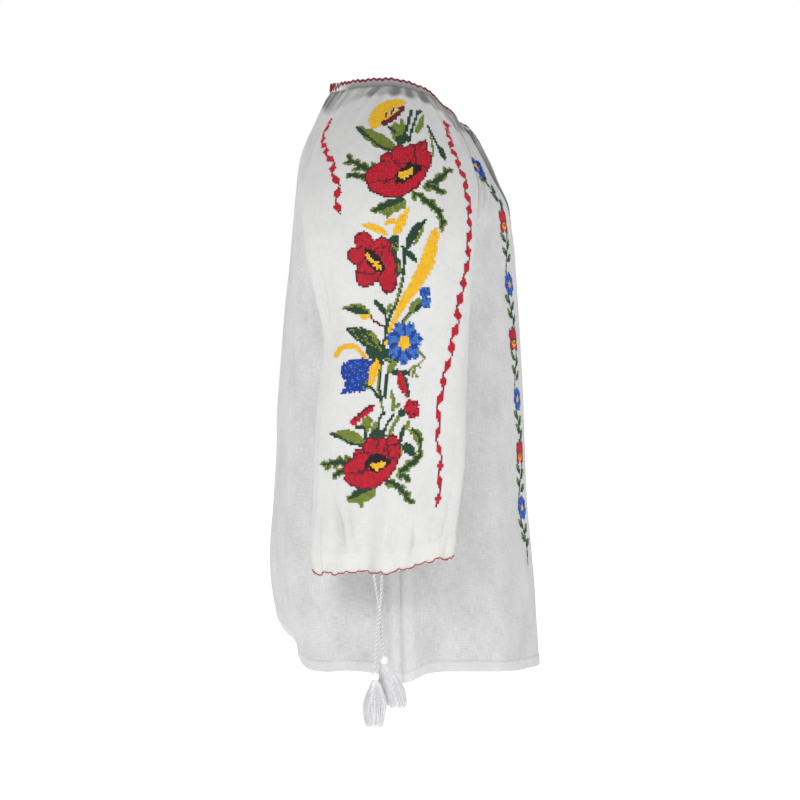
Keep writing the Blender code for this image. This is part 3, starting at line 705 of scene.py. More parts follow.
blotch_middle = maths(weave, "SUBTRACT", blotch, 0.5)
blotch_part = maths(weave, "MULTIPLY", blotch_middle, weave_in.outputs["Mottle"])
shade = maths(weave, "ADD", slub_part, blotch_part)
split = add(weave, "ShaderNodeSeparateXYZ", {0: cloth_mm})
turns = maths(weave, "DIVIDE", math.pi, weave_in.outputs["Thread"])
warp = maths(weave, "SINE", maths(weave, "MULTIPLY", split.outputs["X"], turns))
weft = maths(weave, "SINE", maths(weave, "MULTIPLY", split.outputs["Y"], turns))
crossing = maths(weave, "MULTIPLY", warp, weft)
height = maths(weave, "MULTIPLY_ADD", slub_middle, 1.6, maths(weave, "ABSOLUTE", crossing))
crumple = stretched_noise(weave, cloth_mm, (0.11, 0.06, 1.0), 3.0)
height = maths(weave, "MULTIPLY_ADD", crumple, 5.0, height)
weave.links.new(shade, weave_out.inputs["Shade"])
weave.links.new(height, weave_out.inputs["Height"])
print("weave group with", len(weave.nodes), "nodes")

# %% [markdown]
# Four finishes of the same linen
#
# Where the cloth lies double, in the hem, the casings and the neck band, less light comes through and
# it looks whiter. The sleeves stand away from the body and look whiter too, while the single layer
# over the dark inside of the body looks cool and grey, so the body's greys are painted darker as
# painted shade. The colour is mixed between two greys by the weave's shade. Then a mask under the
# neck band mixes it towards a grey of painted shade, and a mask below zero paints a highlight on
# the side seams.

# %% Linen materials
def principled(name, colour, roughness, sheen=0.0):
    material = bpy.data.materials.new(name)
    material.use_nodes = True
    shader = material.node_tree.nodes["Principled BSDF"]
    shader.inputs["Base Color"].default_value = (*colour, 1.0)
    shader.inputs["Roughness"].default_value = roughness
    shader.inputs["Metallic"].default_value = 0.0
    shader.inputs["Sheen Weight"].default_value = sheen
    shader.inputs["Sheen Roughness"].default_value = 0.5
    shader.inputs["Specular IOR Level"].default_value = 0.25
    return material, material.node_tree, shader


# Painted shade: the grey of the dark inside seen through the cloth, mixed in by the mask.
INSIDE_SHADE_GREY = (0.15, 0.145, 0.15)
WEAVE_LEVEL = 0.62
SEAM_LIGHTENING = -0.5
WEAVE_RELIEF = 0.0002


def linen(name, dark, light, slubs, mottle, bump):
    material, tree, shader = principled(name, light, 0.85, 0.25)
    place = add(tree, "ShaderNodeUVMap", uv_map="cloth").outputs[0]
    cloth = add(tree, "ShaderNodeGroup", node_tree=weave)
    tree.links.new(place, cloth.inputs["Place"])
    cloth.inputs["Slubs"].default_value = slubs
    cloth.inputs["Mottle"].default_value = mottle
    # The mask paints shade above zero, and a painted highlight on the side seams below zero.
    painted_shading = add(tree, "ShaderNodeAttribute", attribute_name="painted_shading").outputs["Fac"]
    below_zero = maths(tree, "MINIMUM", painted_shading, 0.0)
    level = maths(tree, "MULTIPLY_ADD", below_zero, SEAM_LIGHTENING, WEAVE_LEVEL)
    level = maths(tree, "ADD", cloth.outputs["Shade"], level)
    woven = mixed(tree, level, (*dark, 1), (*light, 1))
    colour = mixed(tree, painted_shading, woven, (*INSIDE_SHADE_GREY, 1))
    tree.links.new(colour, shader.inputs["Base Color"])
    raise_relief(tree, shader, bump, WEAVE_RELIEF, cloth.outputs["Height"])
    return material


# The body linen is painted greyer than the sleeve linen: painted shade from the dark inside.
body_linen = linen(
    "body_linen", (0.44, 0.445, 0.44), (0.70, 0.705, 0.70), slubs=1.1, mottle=0.9, bump=0.6
)
sleeve_linen = linen(
    "sleeve_linen", (0.52, 0.525, 0.515), (0.735, 0.74, 0.73), slubs=0.7, mottle=0.5, bump=0.6
)
hem_linen = linen(
    "hem_linen", (0.52, 0.52, 0.515), (0.72, 0.72, 0.715), slubs=0.9, mottle=0.4, bump=0.5
)
casing_linen = linen(
    "casing_linen", (0.54, 0.54, 0.52), (0.74, 0.74, 0.715), slubs=0.7, mottle=0.3, bump=0.5
)
print("linen finishes:", body_linen.name, sleeve_linen.name, hem_linen.name, casing_linen.name)

# %% [markdown]
# Thin shells of cloth
#
# Each grid of points becomes a shell half a millimetre thick: the outer face, an inner face moved in
# along the normals, and a rim round every open edge. A Solidify modifier could do this, but the
# grids already hold their normals, and the rim has to follow the front slit.

# %% Turn a grid into a shell
CLOTH = 0.0005
SHELL_INSET = 0.0001


def quads_of(rows, columns, first):
    number = first + np.arange(rows * columns).reshape(rows, columns)
    low, high = number[:-1], number[1:]
    corners = (low[:, :-1], low[:, 1:], high[:, 1:], high[:, :-1])
    return np.stack(corners, -1).reshape(-1, 4), np.arange(rows - 1).repeat(columns - 1)


def cloth_lengths(grid, centre):
    """Distances along the cloth: out from one column, and up that column."""
    step = np.linalg.norm(np.diff(grid, axis=1), axis=-1)
    across = np.concatenate([np.zeros((len(grid), 1)), np.cumsum(step, axis=1)], axis=1)
    across -= across[:, centre : centre + 1]
    rise = np.linalg.norm(np.diff(grid[:, centre], axis=0), axis=-1)
    return across, np.concatenate([[0.0], np.cumsum(rise)])


def weld(points, quads):
    """Joins points that lie in one place, such as the front's two halves below the slit."""
    key = np.round(points / 2e-6).astype(np.int64)
    _, first, inverse = np.unique(key, axis=0, return_index=True, return_inverse=True)
    return first, inverse.reshape(-1)[quads]


def place_piece(name, mesh):
    """The object of a finished mesh, which keeps still with the blouse."""
    item = bpy.data.objects.new(name, mesh)
    bpy.context.collection.objects.link(item)
    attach(item, "root")
    print(name, len(mesh.polygons), "faces")
    return item


print(f"the back is {cloth_lengths(back, BACK_MIDDLE)[1][-1]:.3f} m long at its middle")


# %% One shell from one or more grids
def shell(name, grids, materials, bands):
    """grids is a list of (grid, centre column, mask). bands gives each row of faces its material."""
    points, normals, places, quads, rows, shadings = [], [], [], [], [], []
    for grid, centre, painted_shading in grids:
        across, up = cloth_lengths(grid, centre)
        faces, face_rows = quads_of(*grid.shape[:2], first=sum(map(len, points)))
        points.append(grid.reshape(-1, 3))
        normals.append(grid_normals(grid).reshape(-1, 3))
        places.append(np.stack([across, np.broadcast_to(up[:, None], across.shape)], -1).reshape(-1, 2))
        quads.append(faces)
        rows.append(face_rows)
        shadings.append(np.broadcast_to(painted_shading, across.shape).reshape(-1))
    points, normals, places, shadings = map(np.concatenate, (points, normals, places, shadings))
    rows, flat_quads = np.concatenate(rows), np.concatenate(quads)
    first, quads = weld(points, flat_quads)
    summed = np.zeros((len(first), 3))
    np.add.at(summed, quads.reshape(-1), normals[flat_quads.reshape(-1)])
    normals = summed / np.linalg.norm(summed, axis=1, keepdims=True)
    points, shadings = points[first] - normals * SHELL_INSET, shadings[first]
    edges = np.stack([quads, np.roll(quads, -1, axis=1)], -1).reshape(-1, 2)
    _, where, counts = np.unique(np.sort(edges, axis=1), axis=0, return_index=True, return_counts=True)
    open_edges = where[counts == 1]
    count = len(points)
    inner = quads[:, ::-1] + count
    a, b = edges[open_edges].T
    rim = np.stack([b, a, a + count, b + count], -1)
    faces = np.concatenate([quads, inner, rim])
    corner_places = np.concatenate(
        [places[flat_quads], places[flat_quads][:, ::-1], places[flat_quads[open_edges // 4]]]
    )
    face_rows = np.concatenate([rows, rows, rows[open_edges // 4]])
    every_point = np.concatenate([points, points - normals * CLOTH])
    mesh = bpy.data.meshes.new(name)
    mesh.from_pydata(every_point.tolist(), [], faces.tolist())
    layer = mesh.uv_layers.new(name="cloth")
    layer.data.foreach_set("uv", corner_places.reshape(-1))
    mask = mesh.attributes.new("painted_shading", "FLOAT", "POINT")
    mask.data.foreach_set("value", np.concatenate([shadings, shadings]))
    for material in materials:
        mesh.materials.append(material)
    mesh.polygons.foreach_set("material_index", bands[face_rows])
    mesh.shade_smooth()
    return place_piece(name, mesh)


# %% [markdown]
# The front, the back and both sleeves
#
# The front is drawn as two halves that meet below the slit. The left sleeve is the right one turned
# over, as it is in the real pattern. Under the neck band the gathered cloth lies thin over the dark
# inside, so the mask paints shade on it there.

# %% Masks for painted shade, painted seam highlights and double cloth
HEM_FACES = 6
CASING_FACES = 9
SEAM_COLUMNS = 3
# A painted highlight along the side seams, through a mask below zero.
SEAM_HIGHLIGHT = -0.7
MASK_SOFTNESS = 0.035
# The ridges of the gathers get less painted shade, as painted light.
RIDGE_LIGHTNESS = 0.55


def edge_bands(grid, edge_faces):
    """1 for the rows of faces in the turned edge, where the cloth lies double, and 0 above."""
    bands = np.zeros(len(grid) - 1, int)
    bands[:edge_faces] = 1
    return bands


def neck_shade_mask(grid, neck_angles, reach):
    """Painted shade, 1 where the gathered cloth lies thin under the neck band, with lighter ridges of
    painted light in it.
    """
    yoke = np.zeros((len(grid), 1))
    yoke[-YOKE_ROWS:, 0] = np.linspace(0.0, 1.0, YOKE_ROWS)
    turn = np.radians(folded(neck_angles))
    ridges = 0.5 + 0.5 * np.sin(30 * turn + 1.1 * np.sin(5 * turn) + 0.9 * np.sin(13 * turn))
    inside = ease((yoke - 1.0 + reach) / MASK_SOFTNESS)
    return inside * (1.0 - RIDGE_LIGHTNESS * ridges**2)


# A mask below zero makes the cloth lighter: a painted highlight along the side seams.
half = np.linspace(0.0, 0.5, HALF_COLUMNS + 1)
front_mask = neck_shade_mask(right_front, front_neck_angle(half), 0.10)
front_mask[:-YOKE_ROWS, :SEAM_COLUMNS] = SEAM_HIGHLIGHT
back_mask = neck_shade_mask(back, back_neck_angle(BACK_COLUMNS[0]), 0.12)
back_mask[:-YOKE_ROWS, -2:] = SEAM_HIGHLIGHT
back_mask[:-YOKE_ROWS, :2] = SEAM_HIGHLIGHT
# On the sleeve the painted shade reaches further down at both ends of the cap, and it is palest at the
# back.
round_sleeve = SLEEVE_COLUMNS[0]
sleeve_reach = 0.10 + 0.04 * ease((round_sleeve - 0.6) / 0.2) + 0.03 * ease((0.3 - round_sleeve) / 0.2)
dimness = 0.45 + 0.55 * ease((round_sleeve - 0.22) / 0.15) - 0.2 * ease((round_sleeve - 0.75) / 0.1)
sleeve_mask = neck_shade_mask(sleeve, sleeve_neck_angle(round_sleeve), sleeve_reach) * dimness
print("thin cloth on", int((front_mask > 0.5).sum() + (sleeve_mask > 0.5).sum()), "points")

# %% Build the four panels
bands = edge_bands(right_front, HEM_FACES)
linens = [body_linen, hem_linen]
front_grids = [(right_front, HALF_COLUMNS, front_mask), (left_front, 0, front_mask[:, ::-1])]
front_panel = shell("front", front_grids, linens, bands)
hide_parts("front_panel")
back_panel = shell("back", [(back, BACK_MIDDLE, back_mask)], linens, bands)
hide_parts("back_panel")
bands = edge_bands(sleeve, CASING_FACES)
linens = [sleeve_linen, casing_linen]
right_sleeve = shell("right_sleeve", [(sleeve, SLEEVE_MIDDLE, sleeve_mask)], linens, bands)
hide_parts("sleeve_right")
turned_over = ((sleeve * MIRROR)[:, ::-1], SLEEVE_MIDDLE, sleeve_mask[:, ::-1])
left_sleeve = shell("left_sleeve", [turned_over], linens, bands)
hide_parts("sleeve_left")

# %% [markdown]
# The neck band
#
# The gathers are held by a strip of linen folded over the raw edge, which makes a round-edged band
# that leans in over the shoulders and stands almost upright at the back. Its section, a strip bent
# double, is swept along the neck seam from one side of the slit to the other. A curve with a bevel
# would do the same, but the seam's own points keep the band on the gathered cloth under it.

# %% The neck band's lean and section
Lean = namedtuple("Lean", "angle inward")
BAND_LEAN = (Lean(0, 40.0), Lean(60, 38.0), Lean(90, 28.0), Lean(150, 12.0), Lean(180, 6.0))
BAND_HEIGHT = 0.010
BAND_THICKNESS = 0.0022
STRIP = 0.0004


def band_frame(angle):
    """The seam's place at each angle, and the directions up the band and out of it."""
    neck = neck_point(angle)
    left = (angle > 180.0)[:, None]
    seam = np.where(left, open_slit(neck, 1.0), open_slit(neck, -1.0))
    inward = np.stack([-neck[:, 0], NECK_CENTRE_Y - neck[:, 1]], -1)
    inward = inward / np.linalg.norm(inward, axis=-1, keepdims=True)
    inward = np.concatenate([inward, 0 * inward[:, :1]], -1)
    lean = np.radians(through(BAND_LEAN, "inward")(folded(angle)))[:, None]
    up = np.array((0.0, 0.0, 1.0))
    rise = up * np.cos(lean) + inward * np.sin(lean)
    return seam, rise, up * np.sin(lean) - inward * np.cos(lean)


def band_section():
    """The strip in section: over the top from one lower edge to the other, and back inside it."""
    turn = np.linspace(-68.0, 248.0, 13)
    up, out = oval(turn, 5.0)
    heights, outs = BAND_HEIGHT * (0.5 + 0.5 * up), BAND_THICKNESS * (0.5 * out - 0.5)
    inner_up = BAND_HEIGHT * (0.5 + (0.5 - STRIP / BAND_HEIGHT) * up[::-1])
    inner_out = BAND_THICKNESS * ((0.5 - STRIP / BAND_THICKNESS) * out[::-1] - 0.5)
    return np.concatenate([heights, inner_up]), np.concatenate([outs, inner_out])


print("the band's section has", len(band_section()[0]), "points")

# %% Build the neck band
# The two ends stop just short of the middle, so that each one stays on its own side of the slit.
band_angles = np.linspace(360.0, 0.0, 421)
band_angles[0], band_angles[-1] = 359.999, 0.001
seam, rise, out = band_frame(band_angles)
up_share, out_share = band_section()
wobble = 0.00025 * np.sin(np.radians(band_angles) * 44) + 0.0002 * np.sin(np.radians(band_angles) * 17)
ring = seam[:, None] + rise[:, None] * up_share[:, None]
ring = ring + out[:, None] * (out_share[:, None] + wobble[:, None, None])
sides = ring.shape[1]
band_points = ring.reshape(-1, 3)
index = np.arange(len(band_points)).reshape(ring.shape[:2])
after = np.roll(index, -1, axis=1)
band_faces = np.stack([index[:-1], index[1:], after[1:], after[:-1]], -1).reshape(-1, 4).tolist()
band_faces += [index[0].tolist(), index[-1][::-1].tolist()]
mesh = bpy.data.meshes.new("neck_binding")
mesh.from_pydata(band_points.tolist(), [], band_faces)
walk = np.concatenate([[0.0], np.cumsum(np.linalg.norm(np.diff(seam, axis=0), axis=-1))])
band_place = np.stack([np.repeat(walk, sides), np.tile(up_share + out_share, len(walk))], -1)
layer = mesh.uv_layers.new(name="cloth")
corners = np.zeros(len(mesh.loops), int)
mesh.loops.foreach_get("vertex_index", corners)
layer.data.foreach_set("uv", band_place[corners].reshape(-1))
# Painted shade on the band's lower part, except at the back, through the same mask.
mask = mesh.attributes.new("painted_shading", "FLOAT", "POINT")
beside = ease((150.0 - folded(band_angles)) / 20.0)[:, None] * ease((0.95 - up_share / BAND_HEIGHT) / 0.3)
mask.data.foreach_set("value", (0.85 * beside).reshape(-1))
mesh.materials.append(casing_linen)
fix = bmesh.new()
fix.from_mesh(mesh)
bmesh.ops.recalc_face_normals(fix, faces=fix.faces)
fix.to_mesh(mesh)
fix.free()
mesh.shade_smooth()
mesh.set_sharp_from_angle(angle=math.radians(60))
neck_binding = place_piece("neck_binding", mesh)
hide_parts("neck_band")
print(f"neck band {walk[-1]:.3f} m long")

# %% [markdown]
# Drawstrings
#
# The cuff is drawn in by a cord of two plies twisted together, whose two ends hang out of the casing.
# Each ply is a tube that winds round the cord's own line. A curve with a bevel gives only a plain
# round cord, and the twist is what one sees first.

# %% Routes of the cord ends
Step = namedtuple("Step", "x y z")
CORD_DIAMETER = 0.0028
PLY_RADIUS = 0.00078
PLY_PITCH = 0.0086
CORD_ROUTES = (
    (
        Step(-0.2692, 0.0262, -0.5042),
        Step(-0.2697, 0.0256, -0.5100),
        Step(-0.2717, 0.0230, -0.5230),
        Step(-0.2727, 0.0210, -0.5380),
        Step(-0.2722, 0.0192, -0.5620),
        Step(-0.2712, 0.0168, -0.5800),
        Step(-0.2705, 0.0160, -0.5855),
    ),
    (
        Step(-0.2698, 0.0186, -0.5049),
        Step(-0.2708, 0.0184, -0.5110),
        Step(-0.2755, 0.0186, -0.5230),
        Step(-0.2785, 0.0204, -0.5410),
        Step(-0.2800, 0.0226, -0.5600),
        Step(-0.2815, 0.0243, -0.5830),
        Step(-0.2820, 0.0246, -0.6005),
    ),
)
print(len(CORD_ROUTES), "routes, with", [len(route) for route in CORD_ROUTES], "steps")


# %% Smooth lines and tubes
def smooth_route(steps, count):
    """Evenly spaced points on a smooth curve through the steps."""
    points = np.array(steps, float)
    ends = np.concatenate([[2 * points[0] - points[1]], points, [2 * points[-1] - points[-2]]])
    t = np.linspace(0.0, 1.0, 30, endpoint=False)[:, None]
    spans = []
    for a, b, c, d in zip(ends, ends[1:], ends[2:], ends[3:]):
        cubic = (2 * a - 5 * b + 4 * c - d) * t**2 + (3 * b - a - 3 * c + d) * t**3
        spans.append(0.5 * (2 * b + (c - a) * t + cubic))
    dense = np.concatenate([*spans, points[-1:]])
    walk = np.concatenate([[0], np.cumsum(np.linalg.norm(np.diff(dense, axis=0), axis=1))])
    at = np.linspace(0.0, walk[-1], count)
    return np.stack([np.interp(at, walk, column) for column in dense.T], -1), walk[-1]


def tube_rings(line, radius, sides):
    """Rings of points round a line. The radius may change along it."""
    ahead = np.gradient(line, axis=0)
    ahead /= np.linalg.norm(ahead, axis=1, keepdims=True)
    across = np.cross(ahead, np.array((0.31, 0.88, 0.36)))
    across /= np.linalg.norm(across, axis=1, keepdims=True)
    over = np.cross(ahead, across)
    turn = 2 * np.pi * np.arange(sides) / sides
    radius = np.broadcast_to(radius, len(line))[:, None, None]
    spoke = across[:, None] * np.cos(turn)[:, None] + over[:, None] * np.sin(turn)[:, None]
    return line[:, None] + radius * spoke


def tube_mesh(rings):
    """Points and faces of a closed tube from its rings."""
    count, sides = rings.shape[:2]
    index = np.arange(count * sides).reshape(count, sides)
    after = np.roll(index, -1, axis=1)
    faces = np.stack([index[:-1], after[:-1], after[1:], index[1:]], -1).reshape(-1, 4).tolist()
    return rings.reshape(-1, 3), faces + [index[0][::-1].tolist(), index[-1].tolist()]


print("cord ends of", [round(smooth_route(route, 9)[1], 4) for route in CORD_ROUTES], "m")


# %% One object from several parts
def piece(name, parts, material):
    """One object from several lots of points and faces."""
    points, faces, first = [], [], 0
    for part_points, part_faces in parts:
        points.append(part_points)
        faces += [[corner + first for corner in face] for face in part_faces]
        first += len(part_points)
    mesh = bpy.data.meshes.new(name)
    mesh.from_pydata(np.concatenate(points).tolist(), [], faces)
    mesh.materials.append(material)
    mesh.shade_smooth()
    return place_piece(name, mesh)


# %% Two plies twisted round a line
def twisted_plies(line, length):
    """Both plies, and the painted shade of each of their points, darker deep in the groove between them.
    """
    ahead = np.gradient(line, axis=0)
    ahead /= np.linalg.norm(ahead, axis=1, keepdims=True)
    across = np.cross(ahead, np.array((1.0, 0.0, 0.0)))
    across /= np.linalg.norm(across, axis=1, keepdims=True)
    over = np.cross(ahead, across)
    turn = 2 * np.pi * np.linspace(0.0, length, len(line)) / PLY_PITCH
    offset = CORD_DIAMETER / 2 - PLY_RADIUS
    plies, groove_shades = [], []
    for start in (0.0, np.pi):
        wind = across * np.cos(turn + start)[:, None] + over * np.sin(turn + start)[:, None]
        middle = line + wind * offset
        rings = tube_rings(middle, PLY_RADIUS, 8)
        outward = ((rings - middle[:, None]) * wind[:, None]).sum(-1) / PLY_RADIUS
        groove_shades.append(np.clip(0.55 - outward, 0.0, 1.0).reshape(-1))
        plies.append(tube_mesh(rings))
    return plies, np.concatenate(groove_shades)


print(f"the plies turn once in {1000 * PLY_PITCH:.1f} mm")

# %% [markdown]
# Cotton for cords and tassels
#
# Cotton thread has fine fibres that run along it and a soft sheen. One group gives both the cords and
# the embroidery a little uneven colour and a fine relief, each with its own strength.

# %% Thread finish as a node group
floss, floss_in, floss_out = new_group(
    "thread_fibres",
    [
        ("Scale", "NodeSocketFloat", 1.0),
        ("Contrast", "NodeSocketFloat", 0.3),
        ("Level", "NodeSocketFloat", 0.5),
    ],
    [("Shade", "NodeSocketFloat"), ("Height", "NodeSocketFloat")],
)
where = add(floss, "ShaderNodeTexCoord").outputs["Object"]
coarse = add(
    floss, "ShaderNodeVectorMath",
    {0: where, 3: maths(floss, "MULTIPLY", floss_in.outputs["Scale"], 900.0)}, operation="SCALE",
).outputs[0]
grain = add(floss, "ShaderNodeTexNoise", {"Vector": coarse, "Scale": 1.0, "Detail": 3.0})
middle = maths(floss, "SUBTRACT", grain.outputs["Fac"], 0.5)
contrast, level = floss_in.outputs["Contrast"], floss_in.outputs["Level"]
floss.links.new(maths(floss, "MULTIPLY_ADD", middle, contrast, level), floss_out.inputs["Shade"])
floss.links.new(grain.outputs["Fac"], floss_out.inputs["Height"])
FIBRE_RELIEF = 0.0001


def thread(name, dark, light, roughness=0.6, sheen=0.3, scale=1.0, contrast=1.2, level=0.5):
    material, tree, shader = principled(name, light, roughness, sheen)
    fibres = add(tree, "ShaderNodeGroup", node_tree=floss)
    fibres.inputs["Scale"].default_value = scale
    fibres.inputs["Contrast"].default_value = contrast
    fibres.inputs["Level"].default_value = level
    # Painted shade from a mesh attribute pulls the colour to the dark one; below zero it is a painted
    # highlight.
    painted_thread_shade = add(tree, "ShaderNodeAttribute", attribute_name="painted_thread_shade").outputs["Fac"]
    shade = maths(tree, "SUBTRACT", fibres.outputs["Shade"], painted_thread_shade)
    tree.links.new(mixed(tree, shade, (*dark, 1), (*light, 1)), shader.inputs["Base Color"])
    raise_relief(tree, shader, 0.3, FIBRE_RELIEF, fibres.outputs["Height"])
    return material


cord_cotton = thread("cord_cotton", (0.48, 0.48, 0.49), (0.96, 0.96, 0.96), contrast=0.5)
tassel_cotton = thread("tassel_cotton", (0.50, 0.50, 0.52), (0.97, 0.97, 0.98), scale=0.7, level=0.7)
print("thread finishes:", cord_cotton.name, tassel_cotton.name)

# %% [markdown]
# Tassels
#
# A tassel is a bundle of threads folded over the cord's knot, wound round with thread to make the
# head, and left to hang. Each thread is a tube of its own with its own length and wave, from a
# seeded random generator, so that the skirt looks combed and not moulded.

# %% Sizes of the tassels and the wound head
Skirt = namedtuple("Skirt", "length lean half_width half_depth strays")
SKIRTS = (
    Skirt(0.0455, -0.0135, 0.0132, 0.0066, 20),
    Skirt(0.0490, 0.0014, 0.0124, 0.0070, 6),
)
HEAD_RADIUS = 0.0042
HEAD_HALF_HEIGHT = 0.0052
THREADS = 260
ROOT_RADIUS = 0.0023
BINDINGS = 3
BINDING_RADIUS = 0.0026
BINDING_THREAD = 0.00032
BINDING_STEP = 0.00045
rng = np.random.default_rng(11)


def wound_head(centre):
    """A round head with the ridges of the thread wound over it, and a tighter neck."""
    heights = np.linspace(math.radians(80), math.radians(-62), 60)
    ridge = 1.0 + 0.035 * np.sin(heights * 30)
    radius = HEAD_RADIUS * np.cos(heights) * ridge * 0.98
    line = centre + np.stack([0 * heights, 0 * heights, HEAD_HALF_HEIGHT * np.sin(heights)], -1)
    turn = 2 * np.pi * np.arange(20) / 20
    spoke = np.stack([np.cos(turn), np.sin(turn), 0 * turn], -1)
    rings = line[:, None] + radius[:, None, None] * spoke
    rings[..., 2] += 0.00025 * np.sin(turn)
    return tube_mesh(rings[:, ::-1])


print(THREADS, "threads in each skirt")

# %% The skirt of threads
def bell(t):
    """How far a skirt stands out along its length: full at two thirds, then drawn in a little."""
    return np.sin(np.pi / 2 * np.minimum(t / 0.66, 1.0)) - 0.30 * np.maximum(t - 0.66, 0.0) / 0.34


def skirt_core(centre, skirt):
    """The inner threads of the skirt, which only show as a full body between the outer ones."""
    t = np.linspace(0.0, 1.0, 12)
    shift = np.stack([0 * t, skirt.lean * t**1.3, -HEAD_HALF_HEIGHT * 0.55 - skirt.length * 0.9 * t], -1)
    turn = 2 * np.pi * np.arange(24) / 24
    ridged = 0.74 + 0.06 * np.sin(8 * turn + 1.0)
    depth = 0.0021 + (skirt.half_depth - ROOT_RADIUS) * bell(t)
    width = 0.0021 + (skirt.half_width - ROOT_RADIUS) * bell(t)
    rings = np.zeros((12, 24, 3)) + (centre + shift)[:, None]
    rings[..., 0] += depth[:, None] * np.cos(turn) * ridged
    rings[..., 1] += width[:, None] * np.sin(turn) * ridged
    return tube_mesh(rings[:, ::-1])


def skirt_thread(centre, skirt, number):
    """One thread from under the head to its cut end."""
    turn, out = rng.uniform(0, 2 * np.pi), math.sqrt(rng.uniform(0.45, 1.0))
    t = np.linspace(0.0, 1.0, 11)
    length = (skirt.length + HEAD_HALF_HEIGHT * 0.4) * rng.uniform(0.93, 1.0) * (1.0 - 0.10 * out**3)
    spread = bell(t) * rng.uniform(0.9, 1.05)
    stray = number < skirt.strays
    far = rng.uniform(1.05, 1.35) if stray else 1.0
    x = math.cos(turn) * out * (ROOT_RADIUS + (skirt.half_depth - ROOT_RADIUS) * spread)
    y = math.sin(turn) * out * far * (ROOT_RADIUS + (skirt.half_width - ROOT_RADIUS) * spread)
    y = y + skirt.lean * t**1.3
    wave = rng.uniform(0.0002, 0.0006) * (3.0 if stray else 1.0)
    phase = rng.uniform(0, 6.28, 2)
    x = x + wave * np.sin(t * rng.uniform(4, 9) + phase[0]) * t
    y = y + wave * np.sin(t * rng.uniform(4, 9) + phase[1]) * t
    z = -HEAD_HALF_HEIGHT * 0.55 - length * t
    line = centre + np.stack([x, y, z], -1)
    return tube_mesh(tube_rings(line, rng.uniform(0.00024, 0.00034), 4))


print("a skirt's fullness down its length:", bell(np.array((0.0, 0.33, 0.66, 1.0))).round(2))

# %% Put a tassel together
def tassel(name, centre, skirt):
    neck = np.array(centre) + np.array((0.0, 0.0, -HEAD_HALF_HEIGHT * 0.86))
    turn = np.linspace(0.0, 2 * np.pi, 33)[:-1]
    side = np.stack([np.cos(turn), np.sin(turn), 0 * turn], -1)
    tip = 2 * np.pi * np.arange(6) / 6
    section = side[:, None] * np.cos(tip)[:, None] + np.array((0, 0, 1.0)) * np.sin(tip)[:, None]
    bind = []
    for binding in range(BINDINGS):
        circle = side * BINDING_RADIUS + neck - np.array((0.0, 0.0, BINDING_STEP * binding))
        rings = circle[:, None] + BINDING_THREAD * section
        index = np.arange(32 * 6).reshape(32, 6)
        onward, after = np.roll(index, -1, axis=0), np.roll(index, -1, axis=1)
        both = np.roll(onward, -1, axis=1)
        faces = np.stack([index, onward, both, after], -1).reshape(-1, 4).tolist()
        bind.append((rings.reshape(-1, 3), faces))
    threads = [skirt_thread(np.array(centre), skirt, k) for k in range(THREADS)]
    parts = [wound_head(np.array(centre)), *bind, skirt_core(np.array(centre), skirt), *threads]
    return piece(name, parts, tassel_cotton)


print(BINDINGS, "turns of thread bind each tassel")

# %% Hang both cord ends and their tassels from each cuff
for side_name, mirror in (("right", 1.0), ("left", -1.0)):
    for number, (route, skirt) in enumerate(zip(CORD_ROUTES, SKIRTS), start=1):
        steps = [Step(step.x * mirror, step.y, step.z) for step in route]
        knot = Step(steps[-1].x, steps[-1].y, steps[-1].z - 1.5 * HEAD_HALF_HEIGHT)
        line, length = smooth_route([*steps, knot], 320)
        plies, groove_shades = twisted_plies(line, length)
        string = piece(f"cord_{side_name}_{number}", plies, cord_cotton)
        # Painted shade: each ply is darker where it turns into the groove between the two plies.
        painted_thread_shade = string.data.attributes.new("painted_thread_shade", "FLOAT", "POINT")
        painted_thread_shade.data.foreach_set("value", groove_shades)
        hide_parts(f"drawstring_{side_name}_{number}")
        drop = HEAD_HALF_HEIGHT * math.sin(math.radians(62)) + 0.0003
        centre = (steps[-1].x, steps[-1].y, steps[-1].z - drop)
        hanging = tassel(f"{side_name}_tassel_{number}", centre, skirt)
        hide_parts(f"tassel_{side_name}_{number}")
        print(string.name, f"{length:.3f} m, with", hanging.name)

# %% [markdown]
# Counted cross-stitch
#
# The flowers are worked in cross-stitch over counted threads of the linen, a little under two
# millimetres to a stitch. The embroiderer follows a chart that gives each stitch its thread. Each panel
# is divided into the same square cells along the cloth, and simple shapes with formulas of their own,
# such as a petal, a leaf or a stem, give the cells their threads. A printed texture would lie flat,
# and it is the raised crosses with their stepped edges that make this embroidery.

# %% Cells along the cloth
PITCH = 0.0018


def cell_corners(grid, centre, left, low, width, length):
    """Corners of square cells along the cloth, each with its place and its normal."""
    columns, rows = round(width / PITCH), round(length / PITCH)
    across, up = cloth_lengths(grid, centre)
    both = np.concatenate([grid, grid_normals(grid)], axis=-1)
    u = left + PITCH * np.arange(columns + 1)
    at = np.interp(low + PITCH * np.arange(rows + 1), up, np.arange(len(up)))
    row = np.minimum(at.astype(int), len(up) - 2)
    widths = lerp(across[row], across[row + 1], at - row)
    places = lerp(both[row], both[row + 1], (at - row)[:, None])
    lines = [[np.interp(u, w, p[:, k]) for k in range(6)] for w, p in zip(widths, places)]
    return np.array(lines).transpose(0, 2, 1)


print(f"each stitch is {1000 * PITCH} mm square")

